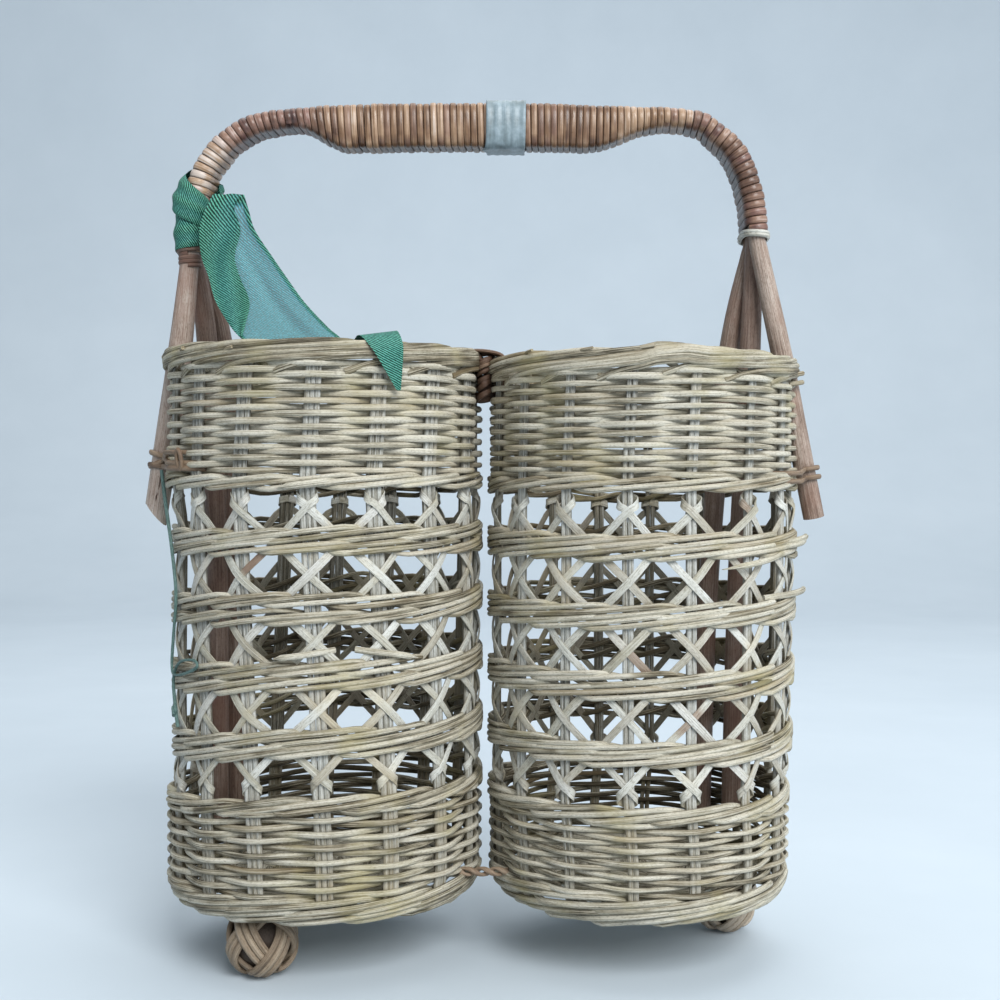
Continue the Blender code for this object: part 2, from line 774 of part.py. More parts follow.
def make_grip_filler(line):
    """The filler bound under the canes, thickest in the hand and thin at its ends."""
    start = line.grip_start + GRIP_TAPER_LEFT * FILLER_START_SHARE
    end = line.grip_end - GRIP_TAPER_RIGHT * FILLER_START_SHARE
    sections = []
    for k in range(FILLER_SECTIONS + 1):
        length = start + (end - start) * k / FILLER_SECTIONS
        low_half, low = line.outline(length, 6, -CLEARANCE)
        wide_half, shoulder = line.outline(length, 7, -CLEARANCE)
        top = -CANE_DIAMETER * line.girth(length) / 2 - 2 * CLEARANCE
        rows = []
        for up in (top, (top + low) / 2, low):
            narrowing = max(shoulder - up, 0) * (wide_half - low_half) / (shoulder - low)
            rows.append((wide_half - narrowing, up))
        section = [(y, up) for y, up in rows] + [(-y, up) for y, up in reversed(rows)]
        middle, outward = line.place(length), line.outward(length)
        sections.append([middle + outward * up + Vector((0, y, 0)) for y, up in section])
    capped_loft("grip_filler", sections, rattan())


def make_wrap(line, name, start, end):
    """One unbroken strip of half-round cane, wound along part of the handle."""
    turns = WRAP_TURNS[name]
    pitch = (end - start + WRAP_GAP) / (turns + 1 - 1 / BUNDLE_CORNERS)
    half = (pitch - WRAP_GAP) / 2
    edges = []
    for k in range(BUNDLE_CORNERS * turns):
        corner = (WRAP_FIRST_CORNER + k) % BUNDLE_CORNERS
        length = start + half + pitch * k / BUNDLE_CORNERS
        low = line.section_point(length - half, corner, WRAP_CLEARANCE)
        crest = line.section_point(length, corner, WRAP_CLEARANCE + WRAP_THICKNESS)
        high = line.section_point(length + half, corner, WRAP_CLEARANCE)
        edges.append((low, crest, high))
    pairs = zip(edges, edges[BUNDLE_CORNERS:])
    gap = min((after[0] - before[2]).length for before, after in pairs)
    print(f"{name}: {turns} turns, least gap to itself {gap * 1000:.2f} mm")
    return capped_loft(name, edges, wrap_cane())


def band(name, line, start, end, rings, lift, thickness, finish, fold=0.0):
    """A closed band round the bundle, with an open middle."""
    stations = [start + (end - start) * k / (rings - 1) for k in range(rings)]
    outside = []
    for k, length in enumerate(stations):
        rise = fold * (1 + (-1) ** k) / 2
        outside.append(line.loop(length, lift + thickness + rise))
    inside = [line.loop(length, lift) for length in (stations[-1], stations[0])]
    return hollow_ring(name, outside + inside, finish)


def make_tape(line):
    lift = WRAP_CLEARANCE + WRAP_THICKNESS + CLEARANCE
    start = line.tape_middle - TAPE_WIDTH / 2
    band("grip_tape", line, start, start + TAPE_WIDTH, 2, lift, TAPE_THICKNESS, grey_tape())


def make_ribbon_knot(line):
    """The ribbon's turns round the left arm, gathered into soft folds."""
    lift = WRAP_CLEARANCE + WRAP_THICKNESS + CLEARANCE
    proud = lift + KNOT_THICKNESS + KNOT_FOLD
    start = END_RING_WIDTH + CLEARANCE
    stations = [start + KNOT_LENGTH * k / (KNOT_RINGS - 1) for k in range(KNOT_RINGS)]
    rings = []
    for k, length in enumerate(stations):
        loop = []
        for corner in range(BUNDLE_CORNERS):
            fold = KNOT_FOLD * math.cos(math.pi * (k + corner / 2))
            loop.append(line.section_point(length, corner, proud + fold))
        rings.append(loop)
    for length in reversed(stations):
        rings.append(line.loop(length, lift))
    return hollow_ring("ribbon_knot", rings, green_ribbon())


def make_ribbon_tail(left):
    """The long tail: from the knot into the left basket, with its tip over the rim."""
    edges = []
    for pair in ribbon_edge_shares:
        row = []
        for x, y, up in pair:
            height = left.rim_top + up * RIBBON_FALL
            row.append(Vector((left.axis_x + x * left.radius, y * left.radius, height)))
        edges.append(row)
    left_edge = [row[0] for row in edges]
    right_edge = [row[1] for row in edges]
    bm = bmesh.new()
    rows = []
    last = len(left_edge) - 1
    for k, (a, b) in enumerate(zip(left_edge, right_edge)):
        ahead = left_edge[min(k + 1, last)] - left_edge[max(k - 1, 0)]
        normal = (b - a).cross(ahead).normalized()
        depth = RIBBON_FOLD * min((b - a).length / (left.radius / 2), 1)
        depth *= math.sin(math.pi * k / last)
        row = []
        for step, share in enumerate(ribbon_fold_shares):
            across = step / (len(ribbon_fold_shares) - 1)
            row.append(bm.verts.new(a.lerp(b, across) + normal * depth * share))
        rows.append(row)
    for first, second in zip(rows, rows[1:]):
        bridge(bm, first, second, closed=False)
    made = finish_object("ribbon_tail", bm, green_ribbon())
    thick = made.modifiers.new("cloth", "SOLIDIFY")
    thick.thickness = RIBBON_THICKNESS
    thick.offset = 0.0
    return made


def make_cane_slot(basket, walls):
    """The slot through the weave in which the outer cane lies."""
    half = CANE_DIAMETER / 2 + CLEARANCE
    low = basket.upper_bottom - OVERRUN
    high = basket.upper_top + CLEARANCE / 2
    beyond = basket.radius + OVERRUN
    corners = []
    for height in (low, high):
        middle = outer_cane_end(basket, height)
        inside = middle.x - basket.outward * half
        outside = basket.axis_x + basket.outward * beyond
        for x, side in ((inside, -1), (outside, -1), (outside, 1), (inside, 1)):
            corners.append(Vector((x, middle.y + side * half, height)))
    cutter = capped_loft(f"{basket.side}_slot_guide", [corners[:4], corners[4:]], rattan())
    cut_away(walls, cutter)


def make_rim_notch(basket, rim):
    """The notch inside the rim border through which the outer cane passes."""
    half = CANE_DIAMETER / 2 + CLEARANCE
    corners = []
    for height in (basket.upper_top - OVERRUN, basket.rim_top + OVERRUN):
        middle = outer_cane_end(basket, height)
        within = basket.axis_x + basket.outward * (basket.inner - OVERRUN)
        outside = middle.x + basket.outward * half
        for x, side in ((within, -1), (outside, -1), (outside, 1), (within, 1)):
            corners.append(Vector((x, middle.y + side * half, height)))
    cutter = capped_loft(f"{basket.side}_notch_guide", [corners[:4], corners[4:]], rattan())
    cut_away(rim, cutter)


def make_cane_lashing(basket):
    """Two turns of cane round the outer cane's end, which go back into the wall."""
    bottom = basket.upper_bottom + LASHING_RISE
    inner = CANE_DIAMETER / 2 + 2 * CLEARANCE
    outer = inner + LASHING_THICKNESS
    crest = LASHING_THICKNESS / 2
    rows = [(0, inner)]
    rows += [(up, outer + proud * crest) for up, proud in lashing_profile_shares]
    rows.append((1, inner))
    sections = []
    for step in range(LASHING_STEPS + 1):
        turn = math.pi * (step / LASHING_STEPS - 0.5)
        section = []
        for up, reach in rows:
            height = bottom + up * LASHING_HEIGHT
            middle = outer_cane_end(basket, height)
            x = middle.x + basket.outward * reach * math.cos(turn)
            section.append(Vector((x, middle.y + reach * math.sin(turn), height)))
        sections.append(section)
    reach = basket.radius + WALING_FLARE + CLEARANCE

    def at_wall(point):
        x = basket.axis_x + basket.outward * math.sqrt(reach**2 - point.y**2)
        return Vector((x, point.y, point.z))

    first, last = ([at_wall(point) for point in sections[end]] for end in (0, -1))
    return capped_loft(f"cane_lashing_{basket.side}", [first, *sections, last], tan_cane())


def make_rim_tie(left, right):
    """A strap over both rims, with a leg down inside each basket."""
    y = -TIE_SET_FORWARD
    legs = []
    for basket in (left, right):
        reach = basket.inner * FACET_SHARE - CLEARANCE
        far = TIE_SET_FORWARD + TIE_WIDTH / 2
        near = basket.axis_x - basket.outward * math.sqrt(reach**2 - far**2)
        top = basket.rim_top + CLEARANCE
        legs.append((near, near + basket.outward * TIE_THICKNESS, top, top - TIE_LEG))
    (left_near, left_far, left_top, left_low), (right_near, right_far, right_top, right_low) = legs
    outline = [(left_far, left_low), (left_near, left_low), (left_near, left_top)]
    outline += [(right_near, right_top), (right_near, right_low), (right_far, right_low)]
    outline += [(right_far, right_top + TIE_THICKNESS / 2), (right_near, right_top + TIE_THICKNESS)]
    outline += [(left_near, left_top + TIE_THICKNESS), (left_far, left_top + TIE_THICKNESS / 2)]
    sections = []
    for side in (-0.5, 0.5):
        sections.append([Vector((x, y + side * TIE_WIDTH, z)) for x, z in outline])
    return capped_loft("rim_tie", sections, tan_cane())


def make_base_tie(left, right):
    """A short twist of cane between the two lower walls, just above the bases."""
    height = left.wall_bottom + BASE_TIE_HEIGHT
    sections = []
    for step in range(BASE_TIE_STEPS + 1):
        share = step / BASE_TIE_STEPS
        twist = math.tau * BASE_TIE_TURNS * share
        section = []
        for k in range(BASE_TIE_SIDES):
            turn = math.tau * k / BASE_TIE_SIDES
            flatness = BASE_TIE_FLATNESS_SHARE * (1 - math.cos(2 * turn))
            reach = BASE_TIE_DIAMETER / 2 * (1 - flatness)
            y = reach * math.cos(turn + twist) - BASE_TIE_FORWARD
            z = height + reach * math.sin(turn + twist)
            start, end = (basket.flank_x(y) for basket in (left, right))
            section.append(Vector((start + (end - start) * share, y, z)))
        sections.append(section)
    return capped_loft("base_tie", sections, tan_cane())


def build_basket(basket):
    make_base(basket)
    make_lower_wall(basket)
    make_stakes(basket)
    make_lattice(basket)
    for number in range(HOOP_COUNT):
        make_hoop(basket, number)
    make_cane_slot(basket, make_upper_wall(basket))
    make_rim_notch(basket, make_rim_border(basket))
    make_cane_lashing(basket)


def build():
    clear_scene()
    left_bands = (LEFT_LOWER_BAND, LEFT_WINDOW, LEFT_HOOP, LEFT_UPPER_BAND)
    right_bands = (RIGHT_LOWER_BAND, RIGHT_WINDOW, RIGHT_HOOP, RIGHT_UPPER_BAND)
    left = Basket("left", LEFT_RADIUS, left_bands, LEFT_TURN, LEFT_STAKE_WIDTH, LEFT_CANE_STANDOFF)
    right = Basket(
        "right", RIGHT_RADIUS, right_bands, RIGHT_TURN, RIGHT_STAKE_WIDTH, RIGHT_CANE_STANDOFF
    )
    for basket in (left, right):
        build_basket(basket)
    for name, angle in foot_angles.items():
        make_foot(name, left if name.endswith("left") else right, angle)
    line = HandleLine(left, right)
    make_canes(line, left, right)
    make_grip_filler(line)
    ring = END_RING_WIDTH + WRAP_GAP
    make_wrap(line, "wrap_left_arm", ring, line.grip_start)
    make_wrap(line, "wrap_grip", line.grip_start + WRAP_GAP, line.grip_end)
    make_wrap(line, "wrap_right_arm", line.grip_end + WRAP_GAP, line.total - ring)
    for name, start in (("end_ring_left", 0), ("end_ring_right", line.total - END_RING_WIDTH)):
        end = start + END_RING_WIDTH
        band(name, line, start, end, 3, WRAP_CLEARANCE, END_RING_THICKNESS, pale_cane())
    make_tape(line)
    make_ribbon_knot(line)
    make_ribbon_tail(left)
    make_rim_tie(left, right)
    make_base_tie(left, right)


build()
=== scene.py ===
"""Looks of a twin wine bottle basket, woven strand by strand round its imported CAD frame.

Lengths are in metres, in the frame of the CAD: X runs from the left basket to the
right one, Y away from the front, +Z up. A place on a basket is given by its stake
number, counted to the right from the stake nearest the front, by its distance from
the basket's axis, and by its height.
"""
import math
import random

import bpy
import numpy as np
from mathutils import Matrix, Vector


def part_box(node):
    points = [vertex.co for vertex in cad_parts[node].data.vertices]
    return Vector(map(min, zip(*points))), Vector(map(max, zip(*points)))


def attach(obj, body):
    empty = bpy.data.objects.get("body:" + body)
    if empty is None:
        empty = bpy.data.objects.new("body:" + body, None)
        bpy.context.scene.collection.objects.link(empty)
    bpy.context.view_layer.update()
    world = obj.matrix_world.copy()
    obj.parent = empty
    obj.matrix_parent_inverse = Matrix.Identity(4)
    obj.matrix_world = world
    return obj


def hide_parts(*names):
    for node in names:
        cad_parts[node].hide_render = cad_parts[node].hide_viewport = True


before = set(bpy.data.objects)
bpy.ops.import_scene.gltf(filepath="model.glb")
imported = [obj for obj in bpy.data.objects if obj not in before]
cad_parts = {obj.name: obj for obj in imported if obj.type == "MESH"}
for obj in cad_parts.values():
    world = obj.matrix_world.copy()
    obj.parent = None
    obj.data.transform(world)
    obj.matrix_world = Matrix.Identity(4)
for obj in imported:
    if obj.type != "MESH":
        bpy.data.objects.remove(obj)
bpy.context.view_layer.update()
rng = random.Random(7)

# Counts
STAKE_COUNT = 16
HOOP_COUNT = 4
WALE_STRANDS = 3
POINTS_PER_STAKE = 8

# Woven walls
LEFT_RADIUS = 0.0552
RIGHT_RADIUS = 0.0540
WALL_DEPTH = 0.0062
WALE_REED = 0.0022
WALL_WALE_REED = 0.0025
WALE_HEIGHT = 0.0044
BASE_DRAW_IN = 0.0050
BASE_CURVE_HEIGHT = 0.0120
BACK_SAG = 0.0052
ROW_SWING = 0.00195
ROW_WOBBLE = 0.00042
WALE_WOBBLE = 0.0006
# How much darker each strand's inner side is: painted shade for the basket's shaded inside
INNER_SHADE = 0.55

# Stakes and lattice
STAKE_REED = 0.00185
STAKE_DEPTH = 0.0019
STRIP_WIDTH = 0.0026
STRIP_DEPTH = 0.0006
LOOP_RISE = 0.0030
LOOP_TOP = 0.0056
LOOP_BULGE = 0.0036

# Rim border
RIM_RUN = 3.9
RIM_REED_DEPTH = 0.0021
RIM_SKIN = 0.0018

# Handle canes and their wrapping
CANE_DIAMETER = 0.0074
CANE_GAP = 0.0003
LEFT_ARM_INSET = 0.0088
RIGHT_ARM_INSET = 0.0146
WRAP_END_ABOVE_RIM = 0.0333
HANDLE_RISE = 0.0491
CANE_STANDOFFS = {"left": 0.0035, "right": 0.0059}
OUTER_CANE_DROP = 0.0095
INNER_CANE_SEAT = 0.0150
FREE_INSET = 0.0117
GRIP_START_X = -0.0665
GRIP_END_X = 0.0640
GRIP_DEPTH = 0.0087
GRIP_TAPER_LEFT = 0.0190
GRIP_TAPER_RIGHT = 0.0300
# Places along the handle's middle line, as shares of the half span and of the rise
handle_line_shares = (
    (-0.994, 0.0),
    (-0.99, 0.26),
    (-0.955, 0.546),
    (-0.915, 0.686),
    (-0.851, 0.82),
    (-0.755, 0.92),
    (-0.599, 0.965),
    (-0.438, 0.99),
    (-0.158, 1.0),
    (0.226, 1.0),
    (0.441, 0.985),
    (0.763, 0.948),
    (0.86, 0.845),
    (0.934, 0.686),
    (0.983, 0.406),
    (1.0, 0.09),
)
# Share of the handle's length, and of the canes' full diameter there
cane_girth_shares = (
    (0, 0.82),
    (0.12, 0.72),
    (0.2, 0.62),
    (0.27, 0.58),
    (0.33, 0.52),
    (0.7, 0.52),
    (0.76, 0.58),
    (0.82, 0.6),
    (0.87, 0.7),
    (1, 0.78),
)
# Share of the radius free inside the stakes, and degrees from the outer side to the back,
# at the rim, half way down and at the seat
inner_cane_places = {
    ("middle", "left"): ((0.96, 4), (0.97, 17), (0.99, 19)),
    ("middle", "right"): ((0.91, 4), (0.97, 26), (0.99, 32)),
    ("back", "left"): ((0.9, 16), (0.97, 31), (0.99, 34)),
    ("back", "right"): ((0.78, 16), (0.97, 47), (0.99, 52)),
}

# Ribbon
# In millimetres: its left edge and its right edge, from the knot to its tip
ribbon_edges = (
    (-91.9, -13.5, 260.3, -81.7, -13.5, 260.3),
    (-94.7, -14.5, 254.0, -79.8, -14.5, 254.3),
    (-96.2, -15.5, 247.7, -77.6, -15.5, 247.7),
    (-95.2, -17.5, 238.6, -71.5, -17.5, 238.6),
    (-92.4, -19.5, 231.5, -66.5, -19.5, 231.5),
    (-89.5, -22.0, 222.8, -60.1, -22.0, 222.8),
    (-83.9, -25.5, 214.1, -51.9, -25.5, 214.1),
    (-80.6, -28.0, 210.5, -48.4, -27.0, 211.2),
    (-76.0, -31.0, 206.0, -44.2, -29.0, 207.5),
    (-64.0, -37.0, 202.5, -37.0, -32.0, 204.5),
    (-52.0, -42.5, 203.0, -32.0, -36.5, 206.0),
    (-42.5, -45.7, 206.9, -29.4, -40.0, 209.6),
    (-39.2, -49.6, 209.1, -27.5, -44.5, 211.0),
    (-34.9, -53.0, 204.7, -25.4, -48.6, 206.3),
    (-31.0, -51.9, 198.3, -25.5, -48.4, 200.1),
    (-27.4, -50.0, 191.8, -26.1, -48.7, 191.8),
)
# The inner edge of its folded side, row by row with the edges above
ribbon_fold_edge = (
    (-82.3, -13.5, 260.0),
    (-84.6, -14.5, 255.6),
    (-82.3, -15.5, 247.7),
    (-83.9, -17.5, 238.6),
    (-81.9, -19.5, 231.5),
    (-78.2, -22.0, 222.8),
    (-78.9, -25.5, 215.1),
    (-79.6, -28.0, 210.7),
)
# Turns of the knot: degrees round the arm from its back, both edges' places along the
# handle, how far it stands out, and how much further at its second edge (millimetres)
knot_low_turn = (
    (-40, 12.0, 2.0, 1.2, 0.0),
    (0, 14.0, 2.0, 1.4, 0.0),
    (50, 17.0, 0.6, 0.5, 0.0),
    (90, 18.0, -0.2, 0.1, 0.0),
    (130, 17.5, 0.4, 0.5, 0.1),
    (180, 15.0, 1.6, 1.4, 0.1),
    (225, 13.0, 3.0, 1.2, 0.0),
    (270, 12.0, 3.0, 1.2, 0.0),
    (320, 12.0, 2.0, 1.2, 0.0),
)
knot_slanted_turn = (
    (-75, 27.5, 17.0, 1.6, 0.0),
    (-30, 29.0, 19.0, 2.0, 0.2),
    (20, 29.5, 18.5, 1.8, 0.8),
    (70, 29.5, 17.5, 0.8, 2.3),
    (100, 29.0, 17.5, 0.8, 2.6),
    (140, 27.0, 14.5, 2.0, 1.4),
    (180, 22.5, 10.5, 2.6, 0.8),
    (215, 19.5, 7.5, 2.4, 0.6),
    (245, 18.0, 8.0, 1.8, 0.4),
)

# Height of each turn of a lashing, its slope, its width, and where it comes out of the
# wall, in degrees from the outer side to the front
left_lashing = ((0.1716, 0.3, 0.0019, 36), (0.1682, 0.1, 0.0020, 37), (0.1696, -0.35, 0.0017, 34))
right_lashing = ((0.1670, 0.15, 0.0018, 25), (0.1640, 0.12, 0.0018, 24))

# Loops of a lashing round the weave: degrees from the front, height and half the length
lashing_loops = {"left": ((-51.2, 0.1704, 0.0031),), "right": ()}

# Degrees from the front, millimetres outside the wall, and height in millimetres
thread_runs = (
    (
        (-73, 0.9, 167),
        (-70, 1.0, 156),
        (-64, 0.7, 142),
        (-59, 0.5, 128),
        (-62, 0.6, 115),
        (-64, 0.8, 105),
        (-58, 1.2, 102.5),
        (-48, 1.0, 103.5),
        (-42, 0.7, 105.5),
        (-44, 0.8, 107.5),
        (-54, 1.0, 106.5),
        (-61, 0.9, 101),
        (-59, 0.7, 91),
        (-57, 0.6, 86),
    ),
    ((-60, 0.9, 93), (-57.5, 1.2, 91.5), (-59.5, 1.3, 89.5), (-61.5, 1.0, 91), (-59.5, 1.5, 92.2), (-58, 1.6, 90)),
)

# Degrees from the front, and how much higher the rim is there
rim_humps = {
    "left": ((-180, 0), (180, 0)),
    "right": ((-20, 0), (-6, 0.0005), (0, 0.0016), (10, 0.0016), (18, 0.0003), (30, 0), (60, -0.0008), (100, 0)),
}
rim_shades = {"left": -0.12, "right": 0.04}
# Cut ends that stand out of the rim: degrees from the front, height, lean, reach and width
rim_ends = {
    "left": (
        (-88, 0.2060, -0.0008, 0.0020, 0.0021),
        (-52, 0.2056, 0.0010, 0.0012, 0.0014),
        (-29, 0.2048, 0.0012, 0.0008, 0.0012),
    ),
    "right": (
        (-50, 0.2050, 0.0008, 0.0007, 0.0010),
        (-26, 0.2047, 0.0008, 0.0007, 0.0010),
        (-5.5, 0.2050, 0.0012, 0.0008, 0.0013),
        (71, 0.1990, 0.0012, 0.0016, 0.0018),
        (74, 0.1962, 0.0010, 0.0014, 0.0018),
    ),
}

# Stained bits of the lattice: degrees from the front, height, 1 where the strip rises to
# the right, tone and warmth
strip_stains = {
    "left": ((-16.6, 0.1350, 1, 0.1, 0.5),),
    "right": ((-6.9, 0.1051, -1, 0.4, 0.45), (15.5, 0.0835, 1, 0.4, 0.45), (29.9, 0.1509, -1, 0.3, 0.4)),
}
# Cut or broken reeds that lie on the weave: degrees, height and millimetres proud at the
# point, half way and where it goes in, then its width, and 1 for pale cane
loose_reeds = {
    "left": (
        ((-8.5, 0.1612, 0.6), (0, 0.1622, 1.0), (14, 0.1638, -3.2), 0.0024, 0),
        ((-10.3, 0.1078, 0.7), (-3, 0.1084, 0.8), (10, 0.1098, -3.2), 0.0021, 0),
        ((38, 0.1066, 0.6), (29, 0.1083, 0.9), (17, 0.1098, -3.2), 0.0022, 0),
    ),
    "right": (
        ((86, 0.1440, 3.2), (75, 0.1433, 1.5), (50, 0.1424, -3.0), 0.0023, 0),
        ((85, 0.1428, 2.4), (72, 0.1420, 1.2), (46, 0.1408, -3.0), 0.0021, 0),
        ((84, 0.1260, 2.4), (70, 0.1256, 1.3), (46, 0.1248, -3.0), 0.0022, 0),
        ((22, 0.1352, 1.7), (42, 0.1376, 1.3), (64, 0.1402, -3.0), 0.0020, 0),
    ),
}

# Splits in the left outer cane: lower end, upper end, and how far right of its middle
cane_cracks = ((0.1560, 0.1590, 0.0002), (0.1600, 0.1665, 0.0006))

# Camera
CAMERA_PLACE = (0.00525, -0.506, 0.165)
CAMERA_DOWN = math.radians(0.99)
CAMERA_LENS = 52.0
WORLD_LIGHT = 0.40


def unit(vectors):
    return vectors / np.linalg.norm(vectors, axis=-1, keepdims=True)


def wander(share, size, waves=5):
    """A smooth random drift that closes on itself as share goes from 0 to 1."""
    drift = np.zeros_like(share)
    for wave in range(1, waves + 1):
        drift += np.sin(2 * np.pi * (wave * share + rng.random())) * rng.uniform(0.5, 1) / wave
    return drift * size


def smooth_path(points, per_span):
    """Points on a smooth curve through the given rows of numbers."""
    given = np.asarray(points, float)
    padded = np.vstack([2 * given[0] - given[1], given, 2 * given[-1] - given[-2]])
    path = []
    for k in range(1, len(padded) - 2):
        a, b, c, d = padded[k - 1 : k + 3]
        t = np.arange(per_span)[:, None] / per_span
        path.append(
            b + 0.5 * ((c - a) * t + (2 * a - 5 * b + 4 * c - d) * t**2 + (3 * b - a - 3 * c + d) * t**3)
        )
    path.append(given[-1:])
    return np.vstack(path)


class Strands:
    """The strands of one piece, gathered into one mesh with their grain and tone."""

    def __init__(self, name):
        self.name = name
        self.points = []
        self.faces = []
        self.grain = []
        self.tone = []
        self.warmth = []
        self.count = 0

    def surface(self, rings, grain, tone, warmth, closed_across=True, closed_along=False):
        """A grid of points as faces. Rings run along the first axis."""
        rows, columns = rings.shape[:2]
        self.points.append(rings.reshape(-1, 3))
        self.grain.append(grain.reshape(-1, 3))
        for store, value in ((self.tone, tone), (self.warmth, warmth)):
            value = np.asarray(value, float)
            value = value if value.ndim == 2 else value.reshape(-1, 1)
            store.append(np.broadcast_to(value, (rows, columns)).ravel())
        k = np.arange(rows if closed_along else rows - 1)[:, None]
        j = np.arange(columns if closed_across else columns - 1)[None, :]
        k2, j2 = (k + 1) % rows, (j + 1) % columns
        quads = np.stack([k * columns + j, k2 * columns + j, k2 * columns + j2, k * columns + j2], -1)
        self.faces += (quads.reshape(-1, 4) + self.count).tolist()
        if closed_across and not closed_along:
            self.faces.append([self.count + column for column in range(columns)])
            last = self.count + (rows - 1) * columns
            self.faces.append([last + column for column in reversed(range(columns))])
        self.count += rows * columns

    def add(self, path, facing, width, depth, tone, warmth=0.0, closed=False, sides=8, boxy=1.0, slant=0.0, dull=0.0):
        """One strand along a path, with its flat face turned to the facing vectors.

        Its first end is cut at a slant, given as a share of its width. Its inner side is
        darkened in tone, painted shade that stands in for the shade inside the basket.
        """
        path = np.asarray(path, float)
        if closed:
            run = np.roll(path, -1, 0) - np.roll(path, 1, 0)
        else:
            run = np.gradient(path, axis=0)
        run = unit(run)
        facing = np.broadcast_to(np.asarray(facing, float), path.shape)
        out = unit(facing - (facing * run).sum(1, keepdims=True) * run)
        side = np.cross(run, out)
        turn = 2 * np.pi * (np.arange(sides) + 0.5) / sides
        across = np.sign(np.cos(turn)) * np.abs(np.cos(turn)) ** boxy
        up = np.sign(np.sin(turn)) * np.abs(np.sin(turn)) ** boxy
        width = np.broadcast_to(np.asarray(width, float).reshape(-1, 1), (len(path), 1)) / 2
        depth = np.broadcast_to(np.asarray(depth, float).reshape(-1, 1), (len(path), 1)) / 2
        wide, high = across * width, up * depth
        rings = path[:, None] + side[:, None] * wide[..., None] + out[:, None] * high[..., None]
        rings[0] -= run[0] * (wide[0] * slant)[:, None]
        steps = np.linalg.norm(np.diff(path, axis=0), axis=1)
        along = np.concatenate([[0], np.cumsum(steps)]) + rng.random()
        grain = np.stack([np.broadcast_to(along[:, None], wide.shape), wide, high], -1)
        tone = np.broadcast_to(np.asarray(tone, float).reshape(-1, 1), (len(path), 1))
        # The inner side is darkened: painted shade
        self.surface(rings, grain, tone - dull * np.clip(-up, 0, 1) ** 0.5, warmth, True, closed)

    def build(self, finish, replaces=()):
        mesh = bpy.data.meshes.new(self.name)
        mesh.from_pydata(np.vstack(self.points).tolist(), [], self.faces)
        for name, kind, field, values in (
            ("grain", "FLOAT_VECTOR", "vector", np.vstack(self.grain)),
            ("tone", "FLOAT", "value", np.concatenate(self.tone)),
            ("warmth", "FLOAT", "value", np.concatenate(self.warmth)),
        ):
            attribute = mesh.attributes.new(name, kind, "POINT")
            attribute.data.foreach_set(field, values.astype(np.float32).ravel())
        mesh.shade_smooth()
        mesh.set_sharp_from_angle(angle=math.radians(60))
        mesh.materials.append(finish)
        piece = bpy.data.objects.new(self.name, mesh)
        bpy.context.scene.collection.objects.link(piece)
        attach(piece, "root")
        if replaces:
            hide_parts(*replaces)
        return piece


class Finish:
    """A Principled material and the nodes that feed it."""

    def __init__(self, name, roughness, **sockets):
        self.material = bpy.data.materials.new(name)
        self.material.use_nodes = True
        self.tree = self.material.node_tree
        self.shader = self.tree.nodes["Principled BSDF"]
        self.shader.inputs["Roughness"].default_value = roughness
        for socket, value in sockets.items():
            self.shader.inputs[socket.replace("_", " ").title().replace("Ior", "IOR")].default_value = value

    def node(self, kind, **settings):
        made = self.tree.nodes.new("ShaderNode" + kind)
        for key, value in settings.items():
            setattr(made, key, value)
        return made

    def feed(self, socket, source):
        """Link a node's output to a socket, or set the socket to a number or colour."""
        if isinstance(source, bpy.types.NodeSocket):
            self.tree.links.new(source, socket)
        else:
            socket.default_value = source

    def attribute(self, name, output="Fac"):
        return self.node("Attribute", attribute_name=name).outputs[output]

    def math(self, operation, a, b=0.0, clamp=False):
        made = self.node("Math", operation=operation, use_clamp=clamp)
        self.feed(made.inputs[0], a)
        self.feed(made.inputs[1], b)
        return made.outputs[0]

    def scaled(self, vector, scale):
        made = self.node("VectorMath", operation="MULTIPLY")
        self.feed(made.inputs[0], vector)
        self.feed(made.inputs[1], scale)
        return made.outputs[0]

    def noise(self, vector, scale=1.0, detail=3.0, roughness=0.6, distortion=0.0):
        made = self.node("TexNoise")
        self.feed(made.inputs["Vector"], vector)
        for name, value in (("Scale", scale), ("Detail", detail), ("Roughness", roughness)):
            made.inputs[name].default_value = value
        made.inputs["Distortion"].default_value = distortion
        return made.outputs[0]

    def ramp(self, share, stops):
        """A colour ramp from (place, colour) stops."""
        made = self.node("ValToRGB")
        bar = made.color_ramp.elements
        while len(bar) < len(stops):
            bar.new(0.5)
        for element, (place, colour) in zip(bar, stops):
            element.position = place
            element.color = (*colour, 1.0)
        self.feed(made.inputs[0], share)
        return made.outputs[0]

    def spread(self, share, low, high, first=0.0, last=1.0):
        """A number moved from the range low to high into the range first to last."""
        made = self.node("MapRange")
        for place, value in enumerate((share, low, high, first, last)):
            self.feed(made.inputs[place], value)
        return made.outputs[0]

    def mix(self, share, a, b, blend="MIX"):
        made = self.node("Mix", data_type="RGBA", blend_type=blend)
        self.feed(made.inputs[0], share)
        for socket, value in ((made.inputs[6], a), (made.inputs[7], b)):
            self.feed(socket, value if isinstance(value, bpy.types.NodeSocket) else (*value, 1.0))
        return made.outputs[2]

    def bump(self, height, depth, strength=1.0):
        made = self.node("Bump")
        made.inputs["Strength"].default_value = strength
        made.inputs["Distance"].default_value = depth
        self.feed(made.inputs["Height"], height)
        self.feed(self.shader.inputs["Normal"], made.outputs[0])

    def place(self):
        return self.node("TexCoord").outputs["Object"]


